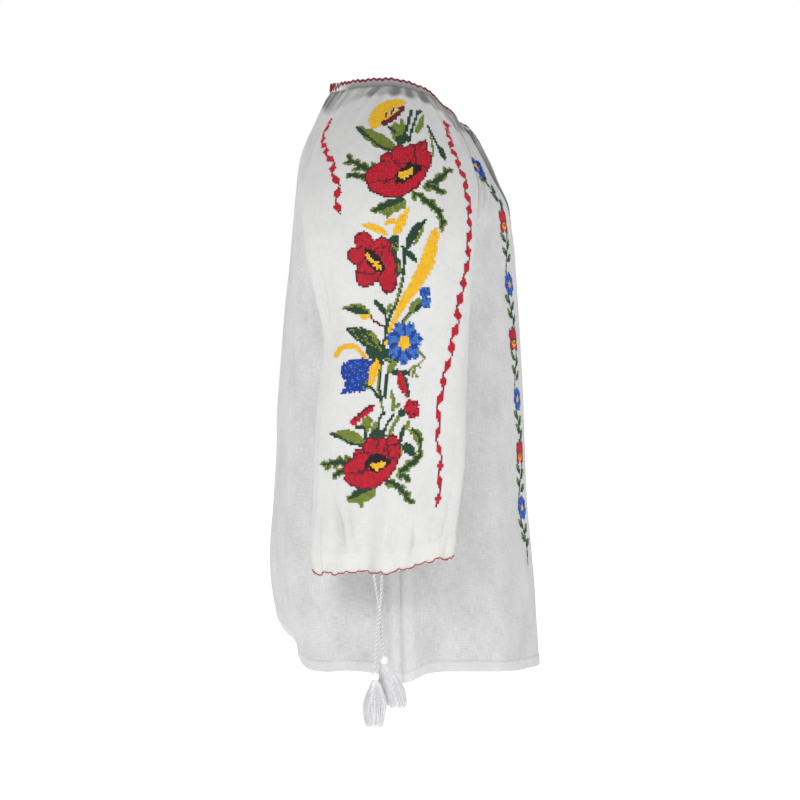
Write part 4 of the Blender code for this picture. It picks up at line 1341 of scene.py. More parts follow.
# %% Shapes on a chart
NONE, RED, WINE, YELLOW, DARK_GREEN, LIGHT_GREEN, BLUE, LIGHT_BLUE, BLACK = range(9)
STITCH = 1000 * PITCH
LEAFLET_WIDTH = 3.1
LEAFLET_LEAN = 0.75
RAGGED = 0.42 * STITCH
FORMS = {
    "even": lambda t: 1.0 + 0.0 * t,
    "petal": lambda t: np.sqrt(np.clip(1.0 - (2.0 * t - 1.0) ** 2, 0.0, 1.0)),
    "leaf": lambda t: np.sin(np.pi * t**0.85) ** 0.8,
    "fan": lambda t: (0.35 + 0.65 * ease(t * 1.4)) * np.sqrt(np.clip(1.0 - t**7, 0.0, 1.0)),
    "ear": lambda t: 0.24 + 0.76 * np.sin(np.pi * t**1.8),
    "rhomb": lambda t: 1.0 - np.abs(2.0 * t - 1.0),
}


class Chart:
    """The cells of one panel. u and v are where each one is seen, in millimetres."""

    def __init__(self, corners, u, v):
        self.corners, self.u, self.v = corners, u, v
        self.cells = np.zeros(u.shape, int)

    def line(self, form, width, fill, *points, edge=NONE, left=NONE, speckle=NONE, frill=0.0):
        """A line of changing width. Its edge and its left side may have threads of their own."""
        _, length = smooth_route(points, 9)
        count = 12 + int(length)
        middle, _ = smooth_route(points, count)
        t = np.linspace(0.0, 1.0, count)
        thinnest = 0.56 * STITCH if form == "even" else 0.1
        half = np.maximum(width * FORMS[form](t) * (1.0 + frill * np.sin(31.0 * t)), thinnest)
        low, high = middle.min(axis=0) - width * 1.2 - 2, middle.max(axis=0) + width * 1.2 + 2
        near = (self.u > low[0]) & (self.u < high[0]) & (self.v > low[1]) & (self.v < high[1])
        u, v = self.u[near], self.v[near]
        over, up = u[:, None] - middle[:, 0], v[:, None] - middle[:, 1]
        away = np.hypot(over, up)
        closest = np.argmin(away / half, axis=1)
        row = np.arange(len(closest))
        away, half = away[row, closest], half[closest]
        ahead = np.gradient(middle, axis=0)[closest]
        leftward = ahead[:, 0] * up[row, closest] - ahead[:, 1] * over[row, closest]
        ragged = RAGGED * np.sin(2.1 * u + 1.3 * v) * np.sin(1.7 * v - 0.9 * u)
        half = half + ragged * (form not in ("even", "rhomb")) * np.clip(half / 3.0, 0.0, 1.0)
        inside, deep = away < half, half - away > 0.85 * STITCH
        cells = self.cells[near]
        cells[inside] = fill
        if left:
            cells[inside & (leftward > 0)] = left
        if edge:
            cells[inside & ~deep] = edge
        if speckle:
            dots = np.sin(u * 1.9 + v * 1.1) + np.sin(v * 2.3 - u * 0.7) + np.sin(u * 0.8 + v * 0.5)
            cells[inside & deep & (dots > 0.9)] = speckle
        self.cells[near] = cells

    def stitches(self):
        return int((self.cells > 0).sum())

    def rhombus(self, start, end, half_width, fill):
        ahead = end - start
        length = np.hypot(*ahead)
        over, up = self.u - start[0], self.v - start[1]
        along = (over * ahead[0] + up * ahead[1]) / length**2
        aside = (over * ahead[1] - up * ahead[0]) / length
        self.cells[np.abs(2.0 * along - 1.0) + np.abs(aside) / half_width < 1.0] = fill

    def fern(self, points, leaflet, count):
        """A feathery leaf: leaflets on both sides of a dark rib, pale at their tips."""
        middle, _ = smooth_route(points, 36)
        ahead = np.gradient(middle, axis=0)
        ahead /= np.linalg.norm(ahead, axis=1, keepdims=True)
        cores = []
        for k in range(count):
            at = int(35 * (k + 0.2) / count)
            aside = np.array((-ahead[at, 1], ahead[at, 0])) * (0.75 if k % 2 else -0.75)
            out = ahead[at] * LEAFLET_LEAN + aside
            reach = leaflet * (0.75 + 0.25 * math.sin(2.6 * k + 1.0)) * (1.0 - 0.3 * k / count)
            tip = middle[at] + out * reach
            self.line("leaf", LEAFLET_WIDTH, LIGHT_GREEN, middle[at] - out, tip)
            cores.append((middle[at], lerp(middle[at], tip, 0.8)))
        self.line("leaf", LEAFLET_WIDTH * 1.1, LIGHT_GREEN, *points)
        for core in cores:
            self.line("leaf", LEAFLET_WIDTH * 0.40, DARK_GREEN, *core)
        self.line("leaf", LEAFLET_WIDTH * 0.72, DARK_GREEN, *points)

    def rosette(self, centre, across, up, rays, turn, fill, other, core=NONE, core_share=0.36):
        """A many-rayed flower, with streaks of a second thread between the rays."""
        u, v = (self.u - centre[0]) / across, (self.v - centre[1]) / up
        far, angle = np.hypot(u, v), np.arctan2(v, u) + turn
        reach = 0.90 + 0.08 * np.cos(rays * angle) + 0.05 * np.sin(23 * angle)
        inside = far < reach
        self.cells[inside] = fill
        streak = np.cos(rays * angle + 0.8 * np.sin(5 * far)) < -0.35
        self.cells[inside & streak & (far > core_share) & (far < reach * 0.86)] = other
        rim = np.sin(rays * 2 * angle + 1.0) > 0.55
        self.cells[inside & rim & (far > reach * 0.80)] = other
        if core:
            self.cells[far < core_share * (1.0 + 0.15 * np.sin(5 * angle))] = core


print("forms of a line:", ", ".join(FORMS))

# %% [markdown]
# The flowers on the sleeve
#
# A tall spray runs down the middle of the sleeve: poppies, cornflowers, an ear of wheat and leaves on
# one thin stem. Every shape is a line with a width here, laid where the eye sees it from the side, in
# millimetres in front of the shoulder point and below it. Leaves come first, so that the petals
# lie over them, as an embroiderer would plan them on paper.

# %% The cells of the sleeve's spray
# A cell is out of sight where the cloth's normal, after its three coordinates, turns from the eye.
OUT_OF_SIGHT = 9999.0
spray_corners = cell_corners(sleeve, SLEEVE_MIDDLE, -0.081, 0.054, 0.156, 0.528)
middles = (spray_corners[:-1, :-1] + spray_corners[1:, 1:]) / 2
across_mm = np.where(middles[..., 3] < -0.02, -1000 * middles[..., 1], OUT_OF_SIGHT)
sew = Chart(spray_corners, across_mm, 1000 * middles[..., 2])
leaf, petal, fan, stroke = (partial(sew.line, form) for form in ("leaf", "petal", "fan", "even"))
print("chart of the sleeve:", sew.cells.shape, "cells")

# %% [markdown]
# The bud at the top
#
# A half-open yellow flower ends the spray near the neck, with wine-red stamens between its petals.
# Three bare stems and a few narrow leaves rise beside it. Each call names a form and gives a half
# width, a thread and the places that the line runs through. A stroke is a line of even width.

# %% Chart the yellow bud and the stems at the top
leaf(5, LIGHT_GREEN, (-4, -64), (-5, -41))
leaf(3.4, LIGHT_GREEN, (1, -63), (2, -36))
petal(8.5, YELLOW, (-27, -47), (-22, -32), (-14, -18), frill=0.05)
petal(6.5, YELLOW, (-25, -38), (-13, -21), (5, -15))
stroke(2.4, WINE, (-17, -43), (-6, -35), (3, -22), frill=0.5)
stroke(1.1, YELLOW, (-14.5, -37.5), (-2, -26))
stroke(0.9, WINE, (-15.5, -35), (-13.5, -30))
stroke(0.9, WINE, (-9.5, -31), (-6.5, -23.5))
stroke(1.6, DARK_GREEN, (-11.5, -47.5), (-4, -55), (-2, -65.5))
stroke(1.7, DARK_GREEN, (2, -66.5), (7, -48.5), (12, -26.5))
leaf(3.8, LIGHT_GREEN, (0, -63), (0, -50), (4, -40))
stroke(1.3, DARK_GREEN, (9, -64), (13.5, -46), (19, -27.5))
stroke(2.2, DARK_GREEN, (18, -28), (21, -27))
leaf(3.2, LIGHT_GREEN, (17, -55), (21, -44), (25, -30))
leaf(5, DARK_GREEN, (-2, -68), (4, -61), (11, -64))
stroke(1, LIGHT_GREEN, (30, -47.5), (33, -64), (34, -80.5))
stroke(1, DARK_GREEN, (29, -45), (34, -57), (41, -73))
leaf(3, DARK_GREEN, (40, -68), (47, -85))
print("with the bud:", sew.stitches(), "stitches")

# %% [markdown]
# Leaves round the upper poppy
#
# Broad leaves are pale with a dark rib. The feathery ones have a dark core and pale tips, and they
# come from one function, because hand-placed leaflets would all need moving when one leaf bends.

# %% Chart the leaves round the upper poppy
leaf(7, LIGHT_GREEN, (-1, -75), (-21, -64), (-46, -45), frill=0.16)
stroke(1.3, DARK_GREEN, (-4, -75.5), (-19.5, -71), (-31, -60.5), (-44.5, -46.5))
leaf(2.6, DARK_GREEN, (-31, -60), (-38, -54), (-47, -44))
sew.fern(((-22, -99), (-39, -93), (-55, -81)), 13, 7)
sew.fern(((-28, -105), (-41, -103), (-55, -100)), 8, 4)
sew.fern(((23, -115), (38, -107), (53, -92)), 9, 7)
sew.fern(((26, -111), (37, -116), (45, -122)), 6, 4)
sew.fern(((14, -120), (29, -131), (40, -143), (44, -159)), 9, 9)
leaf(7, LIGHT_GREEN, (6, -130), (-12, -136), (-30, -140), frill=0.12)
leaf(3.4, DARK_GREEN, (5, -127), (-10, -132), (-29, -141))
leaf(2.6, LIGHT_GREEN, (-9, -137), (-14, -148))
leaf(2.4, LIGHT_GREEN, (2, -132), (4, -137))
print("with the upper leaves:", sew.stitches(), "stitches")

# %% [markdown]
# The upper poppy
#
# Each petal is a fan or an oval with a wine-red outline. The petals at the back come first and the
# large front one last. A black heart with yellow stamens lies on top of them.

# %% Chart the upper poppy
fan(10, RED, (8, -110), (-15, -81), edge=WINE, frill=0.05)
fan(11, RED, (10, -112), (-2, -73), edge=WINE, frill=0.05)
fan(9, RED, (12, -110), (11, -70), edge=WINE, frill=0.05)
fan(7.5, RED, (14, -107), (22, -66), edge=WINE, frill=0.06)
leaf(5.5, RED, (18, -92), (27, -61), edge=WINE)
petal(10.5, RED, (10, -110), (28, -76), edge=WINE, frill=0.03)
petal(8, RED, (-6, -88), (21, -76))
fan(13.5, RED, (15, -94), (-8, -98), (-30, -106), edge=WINE, frill=0.05)
petal(10.5, RED, (-31, -114), (-2, -115), (27, -94), edge=WINE, frill=0.03)
stroke(0.8, WINE, (-16, -110.5), (-2, -103), (4, -99))
stroke(0.8, WINE, (-6, -88), (2, -94.5))
stroke(0.8, WINE, (14.5, -69.5), (16.5, -92))
leaf(6.2, BLACK, (-4, -110), (8, -99), (23, -93), frill=0.25)
leaf(3.6, BLACK, (5, -103), (12, -86))
leaf(3.4, YELLOW, (-2, -103), (8, -100), (13, -94), frill=0.3)
leaf(1.6, YELLOW, (3, -100), (4, -107.5))
print("with the upper poppy:", sew.stitches(), "stitches")

# %% [markdown]
# The stem and its first leaves
#
# One thin stem carries everything below the poppy. It is a smooth stroke through a few places, and
# a stroke never gets thinner than a stitch, or it would break up on the grid.

# %% Chart the stem and its first leaves
leaf(4, YELLOW, (-6, -168), (1, -151), (10, -135), frill=0.15)
leaf(3.6, YELLOW, (-13, -164), (-26, -157), (-40, -153), frill=0.15)
leaf(2.6, YELLOW, (-16, -155), (-9, -150), (0, -153))
leaf(2, YELLOW, (-4, -157.5), (-4, -169.5))
leaf(4.6, DARK_GREEN, (7, -179), (14, -162), (27, -148))
leaf(2, LIGHT_GREEN, (13, -175.5), (19, -165.5), (25, -153))
stroke(1.3, DARK_GREEN, (1, -176), (6, -179))
leaf(3.6, DARK_GREEN, (5, -179), (12, -186), (17, -192))
leaf(5, DARK_GREEN, (-2, -165), (-9, -176), (-4, -188), frill=0.2)
leaf(3, LIGHT_GREEN, (-8, -172), (-2, -180))
leaf(4.4, DARK_GREEN, (-6, -187), (-3, -196), (-2, -207), frill=0.2)
leaf(2, LIGHT_GREEN, (-2, -193), (0, -204))
stroke(1.1, DARK_GREEN, (-19, -166.5), (-11, -170.5), (-3, -176))
stroke(
    1.6, DARK_GREEN, (4.5, -180), (3.5, -202), (0, -220), (-4, -233), (-10, -246),
    (-13.5, -260), (-16, -276), (-18, -288), (-19.5, -300), (-21, -314), (-20, -323), (-18, -331)
)
stroke(0.8, LIGHT_GREEN, (2.5, -206), (-1, -222), (-6, -236))
stroke(0.8, LIGHT_GREEN, (-17, -279), (-19, -296), (-22.5, -315), (-20.5, -326))
print("with the stem:", sew.stitches(), "stitches")

# %% [markdown]
# The middle poppy
#
# This one is seen from the side, so its petals spread to the left and down. Their ragged edges come
# from the frill, a small wave in the width.

# %% Chart the middle poppy
fan(11, RED, (-24, -200), (-39, -166), edge=WINE, frill=0.08)
fan(12, RED, (-26, -204), (-17, -173), edge=WINE, frill=0.08)
fan(10, RED, (-20, -192), (-48, -184), edge=WINE, frill=0.10)
petal(10, RED, (-16, -178), (-11, -222), edge=WINE, frill=0.08)
fan(12, RED, (-22, -182), (-36, -211), edge=WINE, frill=0.10)
stroke(0.8, WINE, (-43, -202), (-30, -204), (-24, -202))
leaf(6, BLACK, (-34, -179), (-26, -190), (-16, -203), frill=0.2)
stroke(1.1, YELLOW, (-33.5, -184), (-30, -189), (-25, -193), (-19, -198.5), frill=0.9)
stroke(0.8, YELLOW, (-27, -195), (-22, -192))
stroke(0.8, YELLOW, (-23, -199), (-20, -195))
print("with the middle poppy:", sew.stitches(), "stitches")

# %% [markdown]
# The ear of wheat
#
# The ear swells slowly from its stalk and has short awns at the tip, which a short table lists.

# %% Chart the ear of wheat
sew.line(
    "ear", 7, YELLOW, (-14, -273), (-8, -256), (4, -232), (18, -210), (27, -192), (33, -169),
    (37, -158)
)
for root, tip in (
    ((29, -192), (37, -181.5)), ((31, -185.5), (39, -172.5)),
    ((32, -177.5), (41, -162)), ((30, -196), (37, -190.5)),
    ((33, -169.5), (32, -159)), ((36, -167.5), (41, -159)),
):
    leaf(1.3, YELLOW, root, tip)
stroke(0.8, LIGHT_GREEN, (42.5, -160), (44.5, -153.5))
print("with the ear:", sew.stitches(), "stitches")

# %% [markdown]
# The small cornflower and the leaves on the left
#
# The small flower is two rosettes, one pale and one dark. The largest leaf is flecked with a second
# green, as if two threads were sewn in turn.

# %% Chart the small cornflower and the leaves on the left
stroke(1, DARK_GREEN, (2, -252), (7, -245), (13, -240))
stroke(0.8, LIGHT_GREEN, (3, -254), (10, -245), (15, -241))
leaf(5.2, LIGHT_GREEN, (11, -242), (21, -229))
leaf(2.4, DARK_GREEN, (15, -242), (22, -232))
sew.rosette((25, -222), 6.6, 6, 5, 0.4, BLUE, LIGHT_BLUE)
sew.rosette((26, -232), 5.6, 6.8, 4, 1, LIGHT_BLUE, BLUE)
leaf(5.2, LIGHT_GREEN, (-29, -246), (-42, -239), (-58, -238))
leaf(3.4, DARK_GREEN, (-28, -248), (-42, -240), (-56, -239))
petal(2.8, YELLOW, (-40, -246), (-30, -247))
stroke(0.8, WINE, (-29, -248), (-23, -253), (-15, -257), frill=0.6)
leaf(3.2, DARK_GREEN, (-14, -245), (-21, -235), (-26, -230))
stroke(1.1, DARK_GREEN, (-14.5, -243), (-14, -260))
leaf(2, LIGHT_GREEN, (-13, -244), (-9, -233))
leaf(8, DARK_GREEN, (-18, -283), (-33, -268), (-54, -259), speckle=LIGHT_GREEN, frill=0.05)
leaf(6, DARK_GREEN, (-18, -294), (-27, -283), (-34, -276))
leaf(2.2, LIGHT_GREEN, (-21, -276), (-29, -260))
print("with the left leaves:", sew.stitches(), "stitches")

# %% [markdown]
# The cornflower, the curls and the blue bud
#
# A rosette has rays, streaks of a second blue and a yellow heart. The bud hangs from the stem on the
# other side, with a yellow sepal, and thin curls fill the space round both.

# %% Chart the cornflower, the curls and the blue bud
leaf(4.6, DARK_GREEN, (-2, -293), (-14, -286), (-12, -278))
stroke(0.9, LIGHT_GREEN, (-14, -288), (-5, -292))
sew.rosette((4, -273), 18.5, 22.5, 7, 0.7, LIGHT_BLUE, BLUE, core=YELLOW, core_share=0.31)
stroke(2.4, YELLOW, (-64, -285), (-59, -278), (-47, -276), (-40, -281), (-35, -288))
stroke(0.9, LIGHT_GREEN, (18, -280), (24, -288), (19, -294), (14, -300), (17, -307))
stroke(0.8, LIGHT_GREEN, (9, -302), (15, -296), (20, -297))
stroke(0.8, LIGHT_GREEN, (13, -301), (12, -306))
fan(11.5, BLUE, (-26, -301), (-53, -301), frill=0.12, speckle=LIGHT_BLUE)
petal(9, BLUE, (-29, -308), (-51, -316), frill=0.1, speckle=LIGHT_BLUE)
leaf(3.8, BLUE, (-36, -312), (-60, -324), speckle=LIGHT_BLUE)
stroke(2, BLUE, (-38, -290), (-26, -294))
petal(4.6, YELLOW, (-23, -290), (-30, -316))
stroke(1.4, LIGHT_GREEN, (-34, -312), (-32, -318))
stroke(1.5, DARK_GREEN, (-37, -315), (-28, -318), (-22, -327))
print("with the blue flowers:", sew.stitches(), "stitches")

# %% [markdown]
# Red buds and the lower stems
#
# Small buds and sprigs join the middle of the spray to the lower poppy. They are only a few stitches
# wide, so a leaf form and a stroke are enough for all of them.

# %% Chart the red buds and the lower stems
stroke(1.4, DARK_GREEN, (-15, -327), (-14, -312), (-11.5, -302), (-3, -300.5))
leaf(3.4, LIGHT_GREEN, (-11, -304), (-8, -296), (-3, -294))
stroke(2.6, DARK_GREEN, (-6, -303), (8, -303))
leaf(4.8, RED, (0, -300), (3, -314), (8, -329), left=DARK_GREEN)
leaf(3.4, RED, (0, -304), (2, -314), (7, -326))
leaf(2.4, LIGHT_GREEN, (-7, -343), (-7, -331), (-9, -319))
leaf(1.8, LIGHT_GREEN, (-6, -339), (1, -332))
stroke(0.9, LIGHT_GREEN, (-19, -332), (-17, -340))
stroke(1.2, DARK_GREEN, (-19, -370), (-13, -355), (-6, -344))
stroke(1.3, DARK_GREEN, (-22, -366), (-21, -350), (-16, -343))
leaf(3.4, LIGHT_GREEN, (-26, -368), (-26, -359), (-23, -351))
leaf(5, DARK_GREEN, (-31, -371), (-22, -363), (-14, -366))
stroke(1.8, LIGHT_GREEN, (-12, -367), (-5, -353), (1, -343))
sew.rosette((12, -339), 8.6, 10.8, 5, 0.5, RED, WINE)
leaf(3.6, DARK_GREEN, (-1, -345), (5, -340))
leaf(5, LIGHT_GREEN, (-34, -360), (-32, -346))
stroke(2.2, RED, (-47, -353), (-38, -345), (-27, -336), frill=0.6)
stroke(0.9, WINE, (-45, -349), (-38, -342), (-28, -336), frill=0.9)
stroke(1.3, DARK_GREEN, (-44, -357), (-36, -358), (-34, -370))
print("with the red buds:", sew.stitches(), "stitches")

# %% [markdown]
# Leaves round the lower poppy
#
# They are like those round the upper poppy, but one stalk on the right curls over towards the cuff.

# %% Chart the leaves round the lower poppy
leaf(6, LIGHT_GREEN, (-33, -375), (-51, -366), (-71, -364))
stroke(1.3, DARK_GREEN, (-34, -376), (-50, -373), (-60, -367), (-70, -364))
leaf(2, DARK_GREEN, (-60, -367), (-71, -363.5))
stroke(1.2, DARK_GREEN, (0.5, -380), (1, -366), (5, -357))
leaf(2.4, DARK_GREEN, (1, -366), (5, -354))
stroke(0.9, LIGHT_GREEN, (2, -385), (1, -377))
leaf(2, LIGHT_GREEN, (5, -360), (10, -349))
leaf(4.2, LIGHT_GREEN, (8, -360), (17, -364), (21, -380))
stroke(1.3, DARK_GREEN, (12, -359), (19, -366), (21, -379))
leaf(4.6, DARK_GREEN, (4, -375), (15, -384), frill=0.2)
sew.fern(((-3, -405), (8, -396), (17, -389), (22, -379)), 7.5, 8)
sew.fern(((-1, -404), (6, -407), (10, -411)), 5, 3)
sew.fern(((-14, -410), (-2, -416), (12, -434)), 8.5, 8)
leaf(6.6, LIGHT_GREEN, (-24, -420), (-38, -425), (-54, -430), frill=0.14)
leaf(3.4, DARK_GREEN, (-26, -418), (-38, -420), (-53, -430))
leaf(2.6, LIGHT_GREEN, (-37, -427), (-39, -437))
sew.fern(((-48, -393), (-62, -392), (-78, -396)), 10, 7)
sew.fern(((-50, -398), (-60, -402), (-68, -407)), 6, 4)
print("with the lower leaves:", sew.stitches(), "stitches")

# %% [markdown]
# The lower poppy
#
# It is built like the upper one and a little smaller, and it covers the roots of its leaves.

# %% Chart the lower poppy
fan(9, RED, (-20, -396), (-43, -384), edge=WINE, frill=0.05)
fan(12, RED, (-19, -407), (-24, -389), (-28, -372), edge=WINE, frill=0.05)
fan(8, RED, (-18, -400), (-16, -370), edge=WINE, frill=0.05)
fan(7.5, RED, (-15, -402), (-6, -366), edge=WINE, frill=0.06)
petal(9.5, RED, (-21, -406), (-3, -376), edge=WINE, frill=0.03)
fan(12.5, RED, (-14, -389), (-33, -393), (-51, -403), edge=WINE, frill=0.05)
petal(9.6, RED, (-55, -408), (-29, -409), (-4, -390), edge=WINE, frill=0.03)
stroke(0.8, WINE, (-43, -404), (-32, -397.5))
stroke(0.8, WINE, (-36, -382), (-26, -388))
stroke(0.8, WINE, (-14, -372), (-11, -385.5))
leaf(6, BLACK, (-34, -396), (-22, -391), (-9, -393), frill=0.25)
leaf(5, BLACK, (-28, -400), (-16, -394))
leaf(3, YELLOW, (-29, -395), (-21, -395), (-13, -392), frill=0.3)
leaf(1.6, YELLOW, (-24, -395.5), (-22, -400.5))
print("the whole spray:", sew.stitches(), "stitches")

# %% [markdown]
# Rhombus chains
#
# A chain of small red rhombi runs down the front of the sleeve and another starts at its back. Each
# rhombus leans the other way from the one before, and a dark stitch joins them. The chain follows the
# cloth round the edge of the sleeve, so it is drawn in millimetres along the cloth and not as seen.

# %% Chart the chains
ChainStep = namedtuple("ChainStep", "up across")
FRONT_CHAIN = (
    ChainStep(60, 57), ChainStep(100, 54), ChainStep(140, 49), ChainStep(190, 53),
    ChainStep(230, 60), ChainStep(275, 71), ChainStep(305, 83), ChainStep(350, 88),
    ChainStep(385, 90), ChainStep(410, 86), ChainStep(440, 77), ChainStep(480, 65), ChainStep(540, 63),
)
BACK_CHAIN = (
    ChainStep(366, -54), ChainStep(396, -55), ChainStep(430, -64), ChainStep(450, -70),
    ChainStep(485, -86), ChainStep(520, -94), ChainStep(556, -86),
)


def chain(chart, steps, links, swing, width):
    height = np.linspace(steps[-1].up, steps[0].up, links + 1)
    lean = np.where(np.arange(links + 1) % 2, swing, -swing) * (0.5 + 0.5 * (height > 190))
    knots = np.stack([through(steps, "across")(height) + lean, height], -1)
    knots = (np.floor(knots / STITCH) + 0.5) * STITCH
    for start, end in zip(knots, knots[1:]):
        thick = width * (0.62 + 0.38 * ease((end[1] - 130) / 110))
        chart.rhombus(start, end, thick, RED)
    for knot in knots:
        chart.line("even", 0.9, WINE, knot - (0.0, 0.9), knot + (0.0, 0.9))


chains = []
for left, width, low, length, steps, links, half_width in (
    (0.036, 0.075, 0.050, 0.504, FRONT_CHAIN, 28, 5.6),
    (-0.111, 0.078, 0.360, 0.2025, BACK_CHAIN, 11, 4.6),
):
    corners = cell_corners(sleeve, SLEEVE_MIDDLE, left, low, width, length)
    rows, columns = np.mgrid[0 : len(corners) - 1, 0 : len(corners[0]) - 1]
    u, v = 1000 * left + STITCH * (columns + 0.5), 1000 * low + STITCH * (rows + 0.5)
    chains.append(Chart(corners, u, v))
    chain(chains[-1], steps, links, 3.2, half_width)
print("chains:", [chart.stitches() for chart in chains], "stitches")

# %% [markdown]
# Flower columns on the front
#
# Blue and red flowers take turns down both sides of the front, on a thin leafy stem that swings from
# one side of a flower to the other side of the next. The distance between two flowers is a repeat of the
# pattern, so one loop draws them all, once on each side.

# %% Chart the column on the right front
FLOWER_HEIGHTS = (-82, -140, -206, -266, -329, -387, -446)
COLUMN_END = -507
Course = namedtuple("Course", "height across")
COLUMN_COURSE = (
    Course(-510, -64), Course(-446, -64), Course(-387, -68), Course(-329, -73), Course(-266, -75),
    Course(-206, -77), Course(-140, -82), Course(-110, -92), Course(-82, -100),
)


def column_chart(grid, centre, left, side):
    """The cells beside one sleeve seam. u is how far a cell is off the column's course.

    Cells past the edge of the panel have no width and stay empty.
    """
    corners = cell_corners(grid, centre, left, 0.090, 0.123, 0.495)
    middles = (corners[:-1, :-1] + corners[1:, 1:]) / 2
    whole_cell = np.linalg.norm(np.diff(corners[:-1, :, :3], axis=1), axis=-1) > PITCH / 2
    height = 1000 * middles[..., 2]
    off_course = 1000 * side * middles[..., 0] - through(COLUMN_COURSE, "across")(height)
    return Chart(corners, np.where(whole_cell, off_course, OUT_OF_SIGHT), height)


def flower_column(column):
    """All flowers and leaves of one column, from the top down."""
    for number, height in enumerate(FLOWER_HEIGHTS):
        below = (*FLOWER_HEIGHTS, COLUMN_END)[number + 1]
        turn = 1.0 if number % 2 else -1.0
        stem = ((9 * turn, height - 6), (5 * turn, height - 20), (-3 * turn, (height + below) / 2 - 6),
                (-10 * turn, below + 6))
        if number == len(FLOWER_HEIGHTS) - 1:
            stem = (*stem[:3], (-2 * turn, below))
        column.line("even", 1.2, DARK_GREEN, *stem)
        for side, drop, reach in ((-1, 16, 15), (1, 22, 12), (-1, 31, 11), (1, 37, 14)):
            root = np.array((3 * turn * (1 - drop / 30) + side * 1.0, height - drop - 5))
            tip = root + (side * reach, 9.0)
            column.line("leaf", 3.6, DARK_GREEN, root, tip)
            column.line("leaf", 1.9, LIGHT_GREEN, lerp(root, tip, 0.5), tip)
    for number, height in enumerate(FLOWER_HEIGHTS):
        if number % 2:
            for turn, reach in ((-0.9, 12), (0.9, 12), (2.4, 9), (-2.4, 9), (0.0, 12)):
                tip = (14 * math.sin(turn), height + reach * math.cos(turn))
                column.line("fan", 6.2, RED, (0, height - 1), tip, edge=WINE, frill=0.06)
            column.line("petal", 3.6, YELLOW, (-4.5, height - 4), (4.5, height - 4))
            column.line("petal", 1.4, BLACK, (-2.5, height - 3), (2.5, height - 3))
        else:
            column.rosette((0, height), 15.5, 13.5, 7, 0.3, BLUE, LIGHT_BLUE, core=YELLOW, core_share=0.26)
    for root, tip in (((62, -140), (76, -118)), ((64, -128), (78, -108)), ((66, -152), (74, -134))):
        column.line("leaf", 3.4, DARK_GREEN, root, tip, left=LIGHT_GREEN)
    return column


columns = [
    flower_column(column_chart(right_front, HALF_COLUMNS, -0.141, 1.0)),
    flower_column(column_chart(left_front, 0, 0.018, -1.0)),
]
print("columns:", [column.stitches() for column in columns], "stitches")

# %% [markdown]
# Crosses of thread
#
# Each stitch is two short threads, one over the other. They rise out of the weave at one corner of
# the cell and sink into it at the opposite one. A square of painted shade under them darkens the gaps
# between the threads. The lower thread is painted darker all over, and the top one is painted darker
# at its ends and sides, with a painted highlight along its crest. All the stitches of one thread on a
# panel are one object. Separate strands cost more faces than a bump texture, but their raised, stepped
# edges are what one sees on real work. The left sleeve takes the right one's stitches turned over.

# %% Turn the charts into stitches
TOP_THREAD = (0.00045, 0.00092)
UNDER_THREAD = (0.00028, 0.00088)
SUNK = 0.0001
STRAND_FACES = ((0, 1, 2), (0, 2, 3), (1, 4, 5, 2), (2, 5, 6, 3), (4, 7, 5), (5, 7, 6))


def strands(start, end, size):
    """Short threads from each start to its end, lying on the cloth. Both rows hold normals too."""
    lift, width = size
    normal = start[:, 3:] + end[:, 3:]
    normal = normal / np.linalg.norm(normal, axis=1, keepdims=True)
    start, end = start[:, :3], end[:, :3]
    aside = np.cross(normal, end - start)
    aside *= width / 2 / np.linalg.norm(aside, axis=1, keepdims=True)
    points = [start - normal * SUNK]
    for share in (0.18, 0.82):
        base = start + (end - start) * share
        points += [base - aside, base + normal * lift, base + aside]
    points = np.stack([*points, end - normal * SUNK], axis=1)
    faces = []
    for first in range(0, 8 * len(start), 8):
        faces += [[first + corner for corner in face] for face in STRAND_FACES]
    return points.reshape(-1, 3), faces


# Painted shade for the stitches: dark squares under them, shaded strand ends and sides, lit top crests.
SHADE_SQUARE_LIFT = 0.00014
SHADE_SQUARE_SHADING = (1.2, 1.2, 1.2, 1.2)
UNDER_THREAD_SHADING = (1.3, 1.0, 0.5, 1.0, 1.0, 0.5, 1.0, 1.3)
TOP_THREAD_SHADING = (1.2, 0.6, -0.2, 0.6, 0.6, -0.2, 0.6, 1.2)
STITCH_SHADINGS = (SHADE_SQUARE_SHADING, UNDER_THREAD_SHADING, TOP_THREAD_SHADING)


def shade_squares(around):
    """Squares of painted shade under the crosses, darkening the gaps between the threads."""
    points = around[..., :3] + around[..., 3:] * SHADE_SQUARE_LIFT
    return points.reshape(-1, 3), np.arange(4 * len(around)).reshape(-1, 4).tolist()


def mirrored(parts):
    return [(points * MIRROR, [face[::-1] for face in faces]) for points, faces in parts]


def cotton(name, dark, light):
    finish = {"roughness": 0.6, "sheen": 0.04, "scale": 0.4, "contrast": 2.2, "level": 0.85}
    return name, thread(f"{name}_cotton", dark, light, **finish)


COTTONS = {
    RED: cotton("red", (0.17, 0.003, 0.010), (0.96, 0.014, 0.045)),
    WINE: cotton("wine", (0.07, 0.004, 0.012), (0.22, 0.008, 0.026)),
    YELLOW: cotton("yellow", (0.62, 0.30, 0.008), (0.98, 0.68, 0.03)),
    DARK_GREEN: cotton("dark_green", (0.006, 0.026, 0.014), (0.030, 0.095, 0.046)),
    LIGHT_GREEN: cotton("light_green", (0.06, 0.09, 0.012), (0.34, 0.41, 0.06)),
    BLUE: cotton("blue", (0.004, 0.020, 0.16), (0.018, 0.080, 0.54)),
    LIGHT_BLUE: cotton("light_blue", (0.01, 0.06, 0.26), (0.10, 0.31, 0.82)),
    BLACK: cotton("black", (0.004, 0.003, 0.006), (0.018, 0.012, 0.020)),
}


